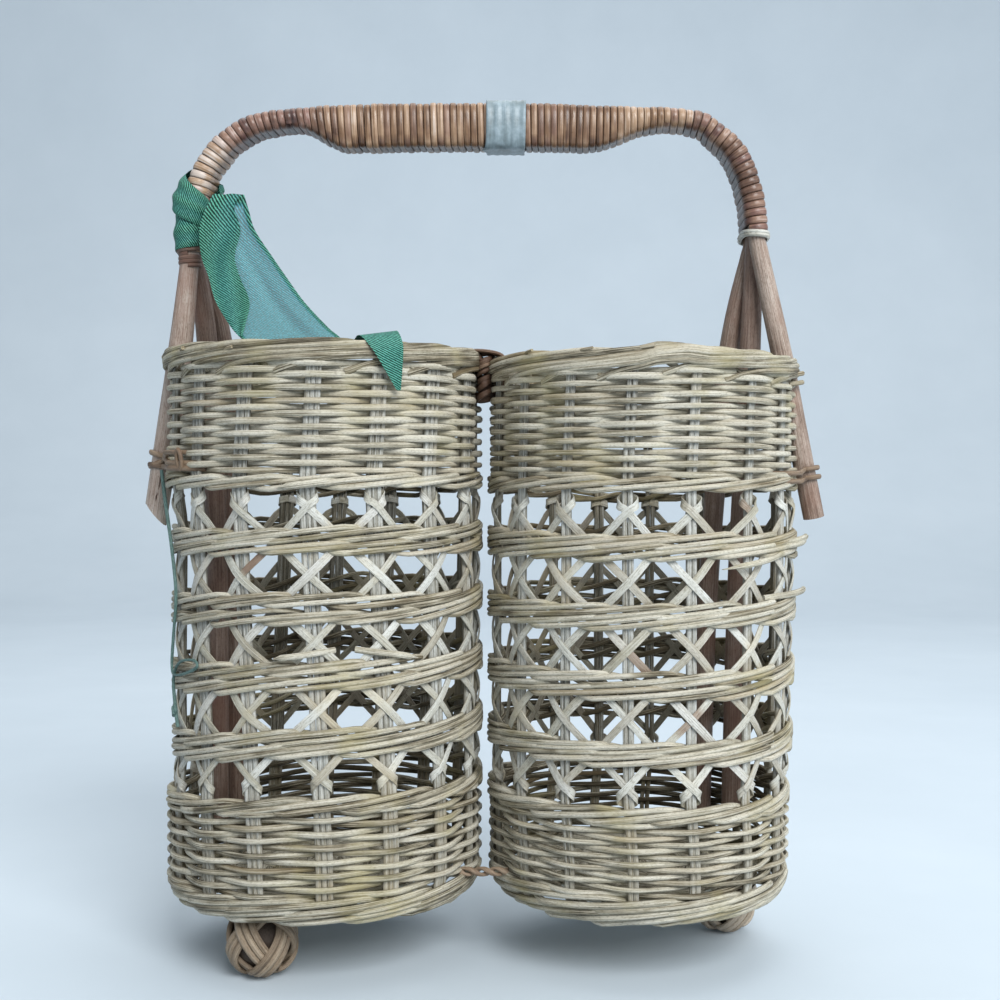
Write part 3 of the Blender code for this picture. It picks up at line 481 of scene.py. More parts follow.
def reed_finish(name, stops, patch_colour, red_colour, roughness, fibre=0.5, gloss=0.3, crack=0.6):
    """Plant fibre: streaks along each strand, stains across the piece, a tone of its own."""
    finish = Finish(name, roughness, specular_ior_level=gloss)
    grain = finish.attribute("grain", "Vector")
    streaks = finish.noise(finish.scaled(grain, (55, 2600, 2600)), detail=4)
    blotches = finish.noise(finish.scaled(grain, (70, 160, 160)), detail=3)
    stains = finish.noise(finish.place(), scale=38, detail=3)
    tone = finish.math("ADD", finish.attribute("tone"), finish.spread(streaks, 0.3, 0.7, -fibre / 2, fibre / 2))
    tone = finish.math("ADD", tone, finish.spread(blotches, 0.3, 0.7, -0.22, 0.18), clamp=True)
    colour = finish.ramp(tone, stops)
    cracks = finish.noise(finish.scaled(grain, (38, 4200, 4200)), detail=2)
    shade = finish.mix(finish.spread(cracks, 0.33, 0.43, crack, 0.0), (1, 1, 1), (0.30, 0.27, 0.22))
    colour = finish.mix(1.0, colour, shade, "MULTIPLY")
    specks = finish.noise(finish.scaled(grain, (900, 2400, 2400)), detail=3)
    colour = finish.mix(1.0, colour, finish.ramp(specks, ((0.3, (0.62, 0.60, 0.56)), (0.5, (1, 1, 1)))), "MULTIPLY")
    colour = finish.mix(finish.spread(stains, 0.52, 0.72, 0.0, 0.6), colour, patch_colour)
    colour = finish.mix(finish.attribute("warmth"), colour, red_colour)
    finish.feed(finish.shader.inputs["Base Color"], colour)
    rough = finish.spread(blotches, 0.3, 0.7, roughness - 0.08, roughness + 0.1)
    finish.feed(finish.shader.inputs["Roughness"], rough)
    finish.bump(finish.math("ADD", streaks, finish.math("MULTIPLY", blotches, 0.5)), 0.0006, 0.8)
    return finish.material


def woven_reed():
    stops = (
        (0.0, (0.085, 0.072, 0.045)),
        (0.3, (0.385, 0.350, 0.262)),
        (0.6, (0.610, 0.580, 0.470)),
        (1.0, (0.740, 0.715, 0.615)),
    )
    return reed_finish("woven_reed", stops, (0.44, 0.39, 0.20), (0.38, 0.28, 0.15), 0.62, fibre=0.9)


def stake_reed():
    stops = (
        (0.0, (0.190, 0.175, 0.130)),
        (0.3, (0.360, 0.350, 0.300)),
        (0.6, (0.530, 0.535, 0.490)),
        (1.0, (0.680, 0.700, 0.670)),
    )
    return reed_finish("stake_reed", stops, (0.50, 0.42, 0.28), (0.40, 0.33, 0.19), 0.68, fibre=1.0, crack=0.9)


def pale_cane():
    stops = (
        (0.0, (0.260, 0.245, 0.190)),
        (0.3, (0.460, 0.435, 0.340)),
        (0.6, (0.610, 0.605, 0.530)),
        (1.0, (0.740, 0.755, 0.710)),
    )
    return reed_finish("pale_cane", stops, (0.62, 0.53, 0.34), (0.22, 0.085, 0.05), 0.42, 0.35, 0.45, crack=0.4)


def tan_cane():
    stops = (
        (0.0, (0.060, 0.042, 0.030)),
        (0.35, (0.270, 0.200, 0.135)),
        (0.7, (0.420, 0.335, 0.240)),
        (1.0, (0.560, 0.480, 0.380)),
    )
    return reed_finish("tan_cane", stops, (0.34, 0.22, 0.12), (0.20, 0.09, 0.05), 0.5, 0.45, 0.4)


def rattan():
    stops = (
        (0.0, (0.130, 0.080, 0.060)),
        (0.35, (0.310, 0.225, 0.175)),
        (0.7, (0.510, 0.410, 0.345)),
        (1.0, (0.660, 0.590, 0.520)),
    )
    return reed_finish("rattan", stops, (0.30, 0.15, 0.10), (0.13, 0.06, 0.045), 0.45, 0.55, 0.4, crack=0.5)


def wrap_cane():
    """Glossy bark side of split cane, darkened along each edge: painted shade for the crevice between turns."""
    finish = Finish("wrap_cane", 0.4, specular_ior_level=0.55)
    grain = finish.attribute("grain", "Vector")
    split = finish.node("SeparateXYZ")
    finish.feed(split.inputs[0], grain)
    streaks = finish.noise(finish.scaled(grain, (90, 1600, 1600)), detail=4)
    blotches = finish.noise(finish.place(), scale=90, detail=5)
    tone = finish.math("ADD", finish.attribute("tone"), finish.spread(streaks, 0.3, 0.7, -0.26, 0.24))
    tone = finish.math("ADD", tone, finish.spread(blotches, 0.3, 0.7, -0.22, 0.2), clamp=True)
    tan = finish.ramp(
        tone,
        (
            (0.0, (0.075, 0.036, 0.020)),
            (0.35, (0.250, 0.143, 0.075)),
            (0.65, (0.480, 0.325, 0.200)),
            (1.0, (0.690, 0.610, 0.530)),
        ),
    )
    red = finish.ramp(
        tone,
        (
            (0.0, (0.030, 0.014, 0.014)),
            (0.4, (0.120, 0.058, 0.045)),
            (0.75, (0.260, 0.140, 0.105)),
            (1.0, (0.500, 0.380, 0.330)),
        ),
    )
    colour = finish.mix(finish.attribute("warmth"), tan, red)
    # Darker along both edges of each strip: painted shade for the crevice between turns
    edge = finish.math("ABSOLUTE", split.outputs[1])
    edge = finish.spread(edge, 0.00118, 0.00150, 0.0, 0.75)
    colour = finish.mix(edge, colour, (0.055, 0.028, 0.018))
    finish.feed(finish.shader.inputs["Base Color"], colour)
    finish.feed(finish.shader.inputs["Roughness"], finish.spread(blotches, 0.3, 0.7, 0.24, 0.44))
    finish.bump(streaks, 0.0002, 0.6)
    return finish.material


def grey_tape():
    """Half clear tape, cloudy where it lies on air."""
    finish = Finish("grey_tape", 0.38, specular_ior_level=0.5)
    grain = finish.attribute("grain", "Vector")
    bars = finish.noise(finish.scaled(grain, (60, 500, 60)), detail=3)
    clouds = finish.noise(finish.place(), scale=260, detail=5)
    share = finish.math("ADD", finish.math("MULTIPLY", bars, 0.4), finish.math("MULTIPLY", clouds, 0.6))
    colour = finish.ramp(share, ((0.35, (0.14, 0.18, 0.19)), (0.5, (0.23, 0.30, 0.33)), (0.65, (0.36, 0.45, 0.50))))
    finish.feed(finish.shader.inputs["Base Color"], colour)
    finish.bump(share, 0.0006, 0.7)
    return finish.material


def green_ribbon():
    """Ribbon woven on the slant, sheer where it is single and dense where it is folded."""
    finish = Finish("green_ribbon", 0.55, specular_ior_level=0.25)
    grain = finish.attribute("grain", "Vector")
    dense = finish.attribute("tone")
    twill = finish.node("TexWave", wave_type="BANDS", bands_direction="DIAGONAL")
    finish.feed(twill.inputs["Vector"], finish.scaled(grain, (1, -1, 0)))
    twill.inputs["Scale"].default_value = 540
    twill.inputs["Distortion"].default_value = 1.6
    twill.inputs["Detail"].default_value = 3
    twill.inputs["Detail Scale"].default_value = 1.5
    speckle = finish.noise(finish.scaled(grain, (900, 1500, 1)), detail=3)
    folds = finish.noise(finish.place(), scale=90, detail=2)
    lines = finish.math("MULTIPLY", twill.outputs["Fac"], finish.spread(dense, 0.0, 1.0, 0.3, 0.62))
    weave = finish.math("ADD", lines, finish.math("MULTIPLY", speckle, 0.5))
    dark = finish.ramp(
        weave,
        ((0.34, (0.001, 0.016, 0.007)), (0.50, (0.002, 0.060, 0.030)), (0.66, (0.016, 0.20, 0.112)), (0.82, (0.18, 0.56, 0.40))),
    )
    pale = finish.ramp(
        weave, ((0.2, (0.002, 0.070, 0.055)), (0.38, (0.012, 0.16, 0.165)), (0.58, (0.14, 0.42, 0.50)))
    )
    colour = finish.mix(dense, pale, dark)
    shadow = finish.spread(folds, 0.35, 0.65, 0.0, 0.35)
    colour = finish.mix(finish.math("MULTIPLY", shadow, dense), colour, (0.006, 0.045, 0.028))
    finish.feed(finish.shader.inputs["Base Color"], colour)
    cover = finish.math("ADD", finish.spread(weave, 0.2, 0.6, 0.74, 0.9), dense, clamp=True)
    finish.feed(finish.shader.inputs["Alpha"], cover)
    finish.bump(weave, 0.0003, 0.8)
    return finish.material


def green_thread():
    finish = Finish("green_thread", 0.6)
    fuzz = finish.noise(finish.scaled(finish.attribute("grain", "Vector"), (900, 3000, 3000)))
    colour = finish.ramp(fuzz, ((0.3, (0.04, 0.09, 0.08)), (0.7, (0.15, 0.25, 0.23))))
    finish.feed(finish.shader.inputs["Base Color"], colour)
    finish.bump(fuzz, 0.0002)
    return finish.material


class Basket:
    """Where everything on one basket is, with the lean and sag of handmade work."""

    def __init__(self, side, radius, first_stake, front_turns, twists, sags, pinches):
        self.side = side
        self.outward = -1 if side == "left" else 1
        base_low, base_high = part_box(f"{side}_base")
        self.axis = (base_low.x + base_high.x) / 2
        self.radius = radius
        self.bottom = base_low.z
        self.wall_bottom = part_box(f"{side}_lower_wall")[0].z
        self.lower_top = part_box(f"{side}_lower_wall")[1].z
        self.hoops = [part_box(f"{side}_hoop_{k + 1}") for k in range(HOOP_COUNT)]
        self.hoops = [(low.z, high.z) for low, high in self.hoops]
        upper_low, upper_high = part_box(f"{side}_upper_wall")
        self.upper_bottom, self.upper_top = upper_low.z, upper_high.z
        self.rim_bottom, self.rim_top = (corner.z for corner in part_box(f"{side}_rim_border"))
        levels = [self.lower_top, *[z for hoop in self.hoops for z in hoop], self.upper_bottom]
        self.windows = list(zip(levels[::2], levels[1::2]))
        turns = {first_stake + k: turn for k, turn in enumerate(front_turns)}
        last_stake = first_stake + len(front_turns) - 1
        start, end = turns[last_stake], turns[first_stake] + 360
        rest = STAKE_COUNT - len(front_turns) + 1
        for k in range(1, rest):
            turns[last_stake + k] = start + (end - start) * k / rest
        self.turns = np.radians([turns[k if k in turns else k - STAKE_COUNT] + (0 if k in turns else 360)
                                 for k in range(STAKE_COUNT)] + [turns[0] + 360])
        self.twist_levels, self.twists = np.array(twists).T
        self.sag_levels, self.sags = np.array(sags).T
        self.pinch_levels, self.pinches = np.array(pinches).T

    def angle(self, stake, height):
        stake = np.asarray(stake, float)
        round_count = np.floor(stake / STAKE_COUNT)
        turn = np.interp(stake - round_count * STAKE_COUNT, np.arange(STAKE_COUNT + 1), self.turns)
        twist = np.radians(np.interp(height, self.twist_levels, self.twists))
        return turn + 2 * np.pi * round_count + twist

    def spot(self, angle, radius, height):
        outer = np.maximum(np.sin(angle) * self.outward, 0)
        radius = radius - np.interp(height, self.pinch_levels, self.pinches) * outer**2
        drop = np.interp(height, self.sag_levels, self.sags) * outer**1.5
        behind = np.maximum(-np.cos(angle), 0) ** 2
        drop = drop + np.interp(height, (0.150, 0.161, 0.167, 0.200), (0, 1, 1, 0)) * BACK_SAG * behind
        return np.stack(
            np.broadcast_arrays(
                self.axis + radius * np.sin(angle), -radius * np.cos(angle), height - drop
            ),
            -1,
        )

    def place(self, stake, radius, height):
        return self.spot(self.angle(stake, height), radius, height)

    def facing(self, stake, height):
        angle = self.angle(stake, height)
        return np.stack(np.broadcast_arrays(np.sin(angle), -np.cos(angle), 0 * angle), -1)

    def wall(self, height):
        """Radius of the wall's outer face, which curves in at the foot."""
        share = np.clip((height - self.wall_bottom) / BASE_CURVE_HEIGHT, 0, 1)
        return self.radius - BASE_DRAW_IN * (1 - np.sqrt(1 - (1 - share) ** 2))

    def core(self, height):
        """Radius of the middle of the stakes."""
        return self.wall(height) - WALL_DEPTH / 2


def strand_tone(count, low=0.2, high=0.8, stretch=(6, 2)):
    """A tone for each point of a long strand, which changes where one reed ends."""
    tones = np.empty(count)
    start = 0
    while start < count:
        end = min(count, start + rng.randrange(max(count // stretch[0], 1), max(count // stretch[1], 2)))
        tones[start:end] = rng.uniform(low, high)
        start = end
    return tones


def add_rows(strands, basket, low, high, count, tones, fullness):
    """Plain weave: each row goes over one stake and behind the next.

    Fullness is a reed's width as a share of the rows' pitch.
    """
    pitch = (high - low) / count
    points = STAKE_COUNT * POINTS_PER_STAKE
    share = np.arange(points) / points
    shared = [wander(share, ROW_WOBBLE, 7) for _ in range(4)]
    own_shares = []
    for row in range(count):
        stake = (row % 2) + np.arange(points) / POINTS_PER_STAKE
        around = (stake / STAKE_COUNT) % 1
        index = np.round(around * points).astype(int) % points
        level = row / max(count - 1, 1) * (len(shared) - 1)
        below = min(int(level), len(shared) - 2)
        drift = shared[below][index] * (1 - level + below) + shared[below + 1][index] * (level - below)
        edge = min(row, count - 1 - row, 2) / 2
        beat = -np.cos(np.pi * (stake - row))
        swing = np.sign(beat) * np.abs(beat) ** 1.4
        reed = pitch * fullness * rng.uniform(0.9, 1.1)
        height = low + pitch * (row + 0.5) + drift * edge + wander(around, ROW_WOBBLE * 0.45, 12)
        radius = basket.core(height) + swing * (ROW_SWING + wander(around, 0.00012, 16))
        width = reed * (1 + wander(around, 0.06, 16))
        path = basket.place(stake, radius, height)
        facing = basket.facing(stake, height)
        tone = strand_tone(points, *tones) + wander(around, 0.03, 20)
        depth = pitch * rng.uniform(0.85, 1.0)
        strands.add(path, facing, width, depth, tone, reed_warmth(points), closed=True, dull=INNER_SHADE)


def add_wale(strands, basket, middle, phase, reed=WALE_REED, wobble=WALE_WOBBLE, spread=0.9, tones=(0.25, 0.85)):
    """Three strands as one closed line: each goes over two stakes and behind one."""
    count = WALE_STRANDS * STAKE_COUNT * POINTS_PER_STAKE
    stake = np.arange(count) / POINTS_PER_STAKE - phase
    share = np.arange(count) / count
    beat = (stake + phase) % WALE_STRANDS
    behind = np.where(beat > 1.5, beat - WALE_STRANDS, beat)
    dip = np.where(np.abs(behind) < 0.55, 0.5 + 0.5 * np.cos(np.pi * behind / 0.55), 0)
    climb = (beat - 1.5) * (np.abs(behind) >= 0.5)
    fall = np.clip(behind + 0.5, 0, 1)
    climb = np.where(np.abs(behind) < 0.5, 1 - 2 * fall**2 * (3 - 2 * fall), climb)
    shared = wander((stake / STAKE_COUNT) % 1, wobble, 4)
    height = middle + shared + climb * reed * spread + wander(share, wobble * 0.45, 40)
    radius = basket.core(height) + (WALL_DEPTH - reed) / 2 * (1 - 2 * dip) + wander(share, 0.00012, 50)
    width = reed * (0.86 + wander(share, 0.09, 40))
    strands.add(
        basket.place(stake, radius, height),
        basket.facing(stake, height),
        width,
        reed * 0.9,
        strand_tone(count, *tones, stretch=(24, 8)),
        reed_warmth(count),
        closed=True,
        dull=INNER_SHADE,
    )


def make_lower_wall(basket, rows, finish):
    strands = Strands(f"{basket.side}_lower_weave")
    foot = basket.wall_bottom
    low = foot + WALE_HEIGHT * 1.85
    high = basket.lower_top - WALE_HEIGHT * 0.85
    # Darker tones than the upper wall: painted shade for the weaker light that reaches low down
    tones = (0.25, 0.78)
    add_wale(strands, basket, foot + WALE_HEIGHT * 0.45, 1, WALL_WALE_REED, tones=tones)
    add_wale(strands, basket, foot + WALE_HEIGHT * 1.35, 2, WALL_WALE_REED, tones=tones)
    add_rows(strands, basket, low, high, rows, tones, 0.88)
    add_wale(strands, basket, basket.lower_top - WALE_HEIGHT / 2, 0, WALL_WALE_REED, tones=tones)
    strands.build(finish, [f"{basket.side}_lower_wall"])


def make_upper_wall(basket, rows, finish):
    strands = Strands(f"{basket.side}_upper_weave")
    add_wale(strands, basket, basket.upper_bottom + WALE_HEIGHT / 2, 1)
    low, high = basket.upper_bottom + WALE_HEIGHT, basket.upper_top + 0.0008
    add_rows(strands, basket, low, high, rows, (0.42, 0.86), 1.12)
    strands.build(finish, [f"{basket.side}_upper_wall"])


def make_hoops(basket, finish):
    for number, (low, high) in enumerate(basket.hoops):
        strands = Strands(f"{basket.side}_waled_hoop_{number + 1}")
        quarter = (high - low) / 4
        add_wale(strands, basket, low + quarter, number)
        add_wale(strands, basket, high - quarter, number + 2)
        strands.build(finish, [f"{basket.side}_hoop_{number + 1}"])


def make_stakes(basket, reeds, finish):
    """Upright stakes of two or three reeds side by side, from the base to the rim."""
    strands = Strands(f"{basket.side}_stake_reeds")
    height = np.linspace(basket.bottom + 0.001, basket.rim_bottom + 0.002, 60)
    share = np.linspace(0, 0.5, 60)
    warmth = np.interp(height, (0.050, 0.068), (0.25, 0.0))
    for stake in range(STAKE_COUNT):
        sway = wander(share, 0.0003)
        for reed in range(reeds):
            offset = (reed - (reeds - 1) / 2) * STAKE_REED
            turn = basket.angle(stake, height) + (offset + sway + wander(share, 0.00012)) / basket.radius
            radius = basket.core(height) + wander(share, 0.00015)
            facing = np.stack([np.sin(turn), -np.cos(turn), 0 * turn], -1)
            path = basket.spot(turn, radius, height)
            tone = rng.uniform(0.45, 0.8) + wander(share, 0.06)
            strands.add(path, facing, STAKE_REED * rng.uniform(0.92, 1.05), STAKE_DEPTH, tone, warmth, sides=8, boxy=0.8, dull=INNER_SHADE)
    strands.build(finish, [f"{basket.side}_stakes"])


def make_lattice(basket, finish):
    """Flat strips that cross on every stake and loop round it at the top and bottom."""
    strands = Strands(f"{basket.side}_lattice_strips")
    levels = [(low + high) / 2 for low, high in basket.windows]
    knots = [(low + high) / 2 for low, high in basket.hoops]
    front = STAKE_DEPTH / 2 + STRIP_DEPTH / 2
    for first in range(STAKE_COUNT):
        for lean in (-1, 1):
            over = 0.0006 if (first % 2 == 0) == (lean > 0) else 0.0001
            marks = []
            # Each mark: stake, sideways offset, radial offset, height, turn of the strip's face
            middle = levels[0]
            marks.append((first, 0, -front - 0.0002, middle - LOOP_TOP, math.pi))
            marks.append((first, -lean * LOOP_BULGE * 0.85, -0.0004, middle - LOOP_RISE - 0.0012, math.pi * 0.62))
            marks.append((first, -lean * LOOP_BULGE * 0.72, front * 0.9, middle - LOOP_RISE + 0.0008, 0.35))
            for step, level in enumerate(levels):
                stake = first + lean * step
                shift = rng.uniform(-0.0005, 0.0005)
                marks.append((stake, shift, front + over, level + rng.uniform(-0.0004, 0.0004), 0))
                if step < len(knots):
                    shift = rng.uniform(-0.0007, 0.0007)
                    marks.append((stake + lean * 0.5, shift, -0.0001, knots[step], 0))
                over = 0.0007 - over
            middle = levels[-1]
            stake = first + lean * (len(levels) - 1)
            marks.append((stake, lean * LOOP_BULGE * 0.72, front * 0.9, middle + LOOP_RISE - 0.0008, 0.35))
            marks.append((stake, lean * LOOP_BULGE * 0.85, -0.0004, middle + LOOP_RISE + 0.0012, math.pi * 0.62))
            marks.append((stake, 0, -front - 0.0002, middle + LOOP_TOP, math.pi))
            route = smooth_path(marks, 6)
            stakes, shift, out, height, roll = route.T
            turn = basket.angle(stakes, height) + shift / basket.radius
            path = basket.spot(turn, basket.core(height) + out, height)
            radial = np.stack([np.sin(turn), -np.cos(turn), 0 * turn], -1)
            sideways = np.stack([np.cos(turn), np.sin(turn), 0 * turn], -1)
            half = len(roll) // 2
            sign = np.where(np.arange(len(roll)) < half, -lean, lean)
            facing = radial * np.cos(roll)[:, None] + sideways * (np.sin(roll) * sign)[:, None]
            width = STRIP_WIDTH * rng.uniform(0.85, 1.1) * (1 + wander(np.linspace(0, 1, len(roll)), 0.03))
            tone = rng.uniform(0.35, 0.9) + wander(np.linspace(0, 1, len(roll)), 0.05)
            warmth = np.full(len(roll), rng.choice((0, 0, 0, 0.08)))
            for degrees, level, way, stain_tone, stain_warmth in strip_stains[basket.side]:
                if way == lean:
                    aside = np.abs((np.degrees(turn) - degrees + 180) % 360 - 180) * basket.radius * math.pi / 180
                    stained = np.hypot(aside, height - level) < 0.0065
                    warmth = np.where(stained, stain_warmth, warmth)
                    tone = np.where(stained, stain_tone, tone)
            strands.add(path, facing, width, STRIP_DEPTH, tone, warmth, sides=8, boxy=0.55, dull=INNER_SHADE)
    strands.build(finish, [f"{basket.side}_lattice"])


def make_rim(basket, finish, humps, ends, shade):
    """A rolled border: every stake's strand runs along four others, then over and in."""
    strands = Strands(f"{basket.side}_rim_braid")
    low, high = basket.rim_bottom, basket.rim_top
    outer = basket.radius - RIM_REED_DEPTH / 2 + 0.0004
    inner = basket.radius - WALL_DEPTH + RIM_REED_DEPTH / 2
    core = (outer + inner) / 2
    for stake in range(STAKE_COUNT):
        length = RIM_RUN + rng.uniform(-0.35, 0.35)
        slack = rng.uniform(-0.0004, 0.0004)
        marks = (
            # Stakes on from its own, distance from the axis, height, turn of its face
            (-0.55, core, low - 0.0030, 0.0),
            (-0.2, core + 0.0009, low - 0.0006, 0.0),
            (0.25, outer - 0.0002, low + 0.0009 + slack, 0.0),
            (length * 0.3, outer + rng.uniform(-0.0002, 0.0003), low + 0.0022 + slack, 0.05),
            (length * 0.55, outer + rng.uniform(-0.0002, 0.0003), low + 0.0036 + slack, 0.12),
            (length * 0.8, outer - 0.0001, low + 0.0051 + slack / 2, 0.3),
            (length, outer - 0.0009, high - 0.0010, 0.9),
            (length + 0.45, core, high - RIM_REED_DEPTH / 2, math.pi / 2),
            (length + 0.85, inner, high - 0.0022, 2.6),
            (length + 1.3, inner - 0.0001, low + 0.0022, math.pi),
            (length + 1.6, core, low - 0.0016, math.pi),
        )
        path = smooth_path(marks, 9)
        on, radius, height, roll = path.T
        on = on + stake
        degrees = np.degrees(basket.angle(on, height))
        height = height + np.interp((degrees + 180) % 360 - 180, *np.array(humps).T)
        share = np.linspace(0, 1, len(on))
        height = height + wander(share, 0.00018, 6)
        radial = basket.facing(on, height)
        facing = radial * np.cos(roll)[:, None] + np.array([0, 0, 1.0]) * np.sin(roll)[:, None]
        width = rng.uniform(0.0019, 0.0024) * (1 + wander(share, 0.08, 6))
        tone = rng.uniform(0.1, 0.65) + shade + wander(share, 0.05, 5)
        warmth = np.full(len(on), rng.choice((0.0, 0.05, 0.1, 0.2, 0.35)))
        strands.add(basket.place(on, radius, height), facing, width, RIM_REED_DEPTH, tone, warmth)
    for degrees, height, lean, size, width in ends:
        turn = math.radians(degrees) + np.linspace(-0.06, 0.075, 8) * np.sign(lean)
        reach = np.interp(np.arange(8), (0, 4, 7), (core, outer + 0.0004, outer + 0.0004 + size))
        levels = height + np.linspace(-0.5, 0.5, 8) * abs(lean)
        path = basket.spot(turn, reach, levels)
        strands.add(path, (0, 0, 1.0), width, width * 0.95, rng.uniform(0.2, 0.5), 0.3)
    strands.build(finish, [f"{basket.side}_rim_border"])


def make_loose_reeds(basket, reed, pale):
    """Cut and broken reeds, which end in a point on the weave."""
    for number, (*marks, width, is_pale) in enumerate(loose_reeds[basket.side]):
        degrees, height, proud = smooth_path(marks, 10).T
        path = basket.spot(np.radians(degrees), basket.radius + proud / 1000, height)
        radial = basket.spot(np.radians(degrees), basket.radius + 0.01, height) - path
        share = np.linspace(0, 1, len(path))
        widths = width * np.clip(share / 0.2, 0.12, 1)
        strands = Strands(f"{basket.side}_loose_reed_{number + 1}")
        strands.add(path, radial, widths, width * (0.35 if is_pale else 0.8), 0.6 + wander(share, 0.1))
        strands.build(pale if is_pale else reed)


def make_base(basket, finish):
    """Round woven base: rows over and under spokes that run in from the stakes."""
    strands = Strands(f"{basket.side}_base_weave")
    outer = basket.radius - BASE_DRAW_IN - WALL_DEPTH / 2
    middle = basket.bottom + 0.0028
    rows = 16
    for row in range(rows):
        radius = outer * (row + 1) / (rows + 0.5)
        stake = (row % 2) + np.arange(STAKE_COUNT * POINTS_PER_STAKE) / POINTS_PER_STAKE
        height = middle + 0.0011 * np.tanh(1.7 * np.cos(np.pi * (stake - row)))
        path = basket.spot(basket.angle(stake, middle), radius, height)
        facing = np.broadcast_to([0, 0, 1.0], path.shape)
        strands.add(path, facing, outer / rows * 0.95, 0.0018, strand_tone(len(stake)), closed=True)
    for stake in range(STAKE_COUNT):
        reach = np.linspace(0.0, outer + 0.001, 12)
        path = basket.spot(basket.angle(stake, middle), reach, np.full(12, middle))
        width = np.clip(reach * 0.35, 0.0006, 0.0045)
        strands.add(path, (0, 0, 1.0), width, 0.0013, 0.5, boxy=0.7)
    strands.build(finish, [f"{basket.side}_base"])


def make_foot(name, start, shade, finish):
    """A ball knot: three leads and four bights of a strap made of three plies."""
    low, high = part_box(name)
    centre = np.array((low + high) / 2)
    radius = (high.z - low.z) / 2 - 0.0013
    strands = Strands(f"{name}_knot")
    leads, bights = 3, 4
    start = math.radians(start)
    for ply in (-1, 0, 1):
        around = np.linspace(0, 2 * np.pi * leads, 181)[:-1]
        beat = bights * around / leads
        tilt = math.radians(66) * np.cos(beat)
        weave = radius + 0.0009 * np.sin(2 * beat)
        turn = around + start
        path = np.stack([np.cos(tilt) * np.cos(turn), np.cos(tilt) * np.sin(turn), np.sin(tilt)], -1)
        run = unit(np.roll(path, -1, 0) - np.roll(path, 1, 0))
        side = unit(np.cross(path, run))
        path = unit(path + side * ply * 0.0023 / radius)
        tone = rng.uniform(0.3, 0.7) + shade + wander(around / around[-1], 0.1)
        strands.add(centre + path * weave[:, None], path, 0.0024, 0.0018, tone, closed=True)
    # A core inside the knot, at the darkest tone: painted shade for the knot's inside
    core = np.linspace(-1, 1, 9)
    girth = 2 * (radius - 0.0015) * np.sqrt(np.clip(1 - core**2, 0.02, 1))
    path = centre + np.outer(core * (radius - 0.0015), (0, 0, 1))
    strands.add(path, (1, 0, 0), girth, girth, -0.6, sides=16)
    strands.build(finish, [name])


class HandleLine:
    """The middle line of the three canes, by length along it, in the XZ plane."""

    def __init__(self, left, right):
        start = left.axis - left.radius + LEFT_ARM_INSET
        end = right.axis + right.radius - RIGHT_ARM_INSET
        across, up = np.array(handle_line_shares).T
        height = left.rim_top + WRAP_END_ABOVE_RIM + up * HANDLE_RISE
        places = np.stack([start + (end - start) * (1 + across) / 2, height], -1)
        self.line = smooth_path(places, 24)
        steps = np.linalg.norm(np.diff(self.line, axis=0), axis=1)
        self.lengths = np.concatenate([[0], np.cumsum(steps)])
        self.total = self.lengths[-1]
        self.grip_start = self.length_at(GRIP_START_X)
        self.grip_end = self.length_at(GRIP_END_X)

    def length_at(self, x):
        return float(np.interp(x, self.line[:, 0], self.lengths))

    def place(self, length):
        x = np.interp(length, self.lengths, self.line[:, 0])
        z = np.interp(length, self.lengths, self.line[:, 1])
        return np.stack(np.broadcast_arrays(x, 0 * x, z), -1)

    def outward(self, length):
        reach = CANE_DIAMETER / 2
        run = self.place(np.minimum(length + reach, self.total)) - self.place(np.maximum(length - reach, 0))
        return unit(np.stack([-run[..., 2], 0 * run[..., 0], run[..., 0]], -1))

    def girth(self, length):
        shares, girths = np.array(cane_girth_shares).T
        return CANE_DIAMETER * np.interp(length / self.total, shares, girths)

    def filler(self, length):
        left = np.clip((length - self.grip_start) / GRIP_TAPER_LEFT, 0, 1)
        right = np.clip((self.grip_end - length) / GRIP_TAPER_RIGHT, 0, 1)
        share = np.minimum(left, right)
        return GRIP_DEPTH * share * share * (3 - 2 * share)

    def skin(self, length, turn, lift):
        """A point on the bundle's outline.

        Turn 0 is at the back. The outline then runs over the outer side, down the front
        and back along the inner side, under the filler.
        """
        length, turn, lift = np.broadcast_arrays(length, turn, lift)
        reach = self.girth(length) / 2 + lift
        straight = self.girth(length) + CANE_GAP
        marks = np.array([0, 0.105, 0.395, 0.605, 0.895, 1])
        share = np.mod(turn / (2 * np.pi), 1)
        part = np.clip(np.searchsorted(marks, share, side="right") - 1, 0, 4)
        within = (share - marks[part]) / (marks[part + 1] - marks[part])
        bend = np.choose(part, [0 * share, 0 * share, 0 * share + np.pi / 2, 0 * share, 0 * share - np.pi / 2])
        bend = bend + within * np.choose(part, [np.pi / 2, 0, np.pi, 0, np.pi / 2])
        across, rise = np.cos(bend) * reach, np.sin(bend) * reach
        y = np.choose(
            part,
            [
                straight + across,
                straight * (1 - 2 * within),
                across - straight,
                straight * (2 * within - 1),
                straight + across,
            ],
        )
        up = np.choose(part, [rise, reach, rise, -reach, rise])
        lowered = np.clip((reach - up) / (2 * reach), 0, 1)
        up = up - self.filler(length) * lowered**2 * (3 - 2 * lowered)
        sideways = np.stack([0 * y, y, 0 * y], -1)
        return self.place(length) + self.outward(length) * up[..., None] + sideways


# Hue of the wrapping along the handle: share of its length, tone, warmth
wrap_hues = (
    (0.0, 0.75, 0.3),
    (0.09, 0.92, 0.25),
    (0.14, 0.88, 0.3),
    (0.17, 0.66, 0.85),
    (0.265, 0.64, 0.95),
    (0.295, 0.5, 0.6),
    (0.32, 0.56, 0.12),
    (0.52, 0.5, 0.2),
    (0.535, 0.45, 0.8),
    (0.57, 0.4, 0.7),
    (0.59, 0.46, 0.2),
    (0.66, 0.45, 0.35),
    (0.72, 0.55, 0.15),
    (0.79, 0.55, 0.25),
    (0.83, 0.5, 0.6),
    (0.9, 0.5, 0.75),
    (1.0, 0.55, 0.7),
)


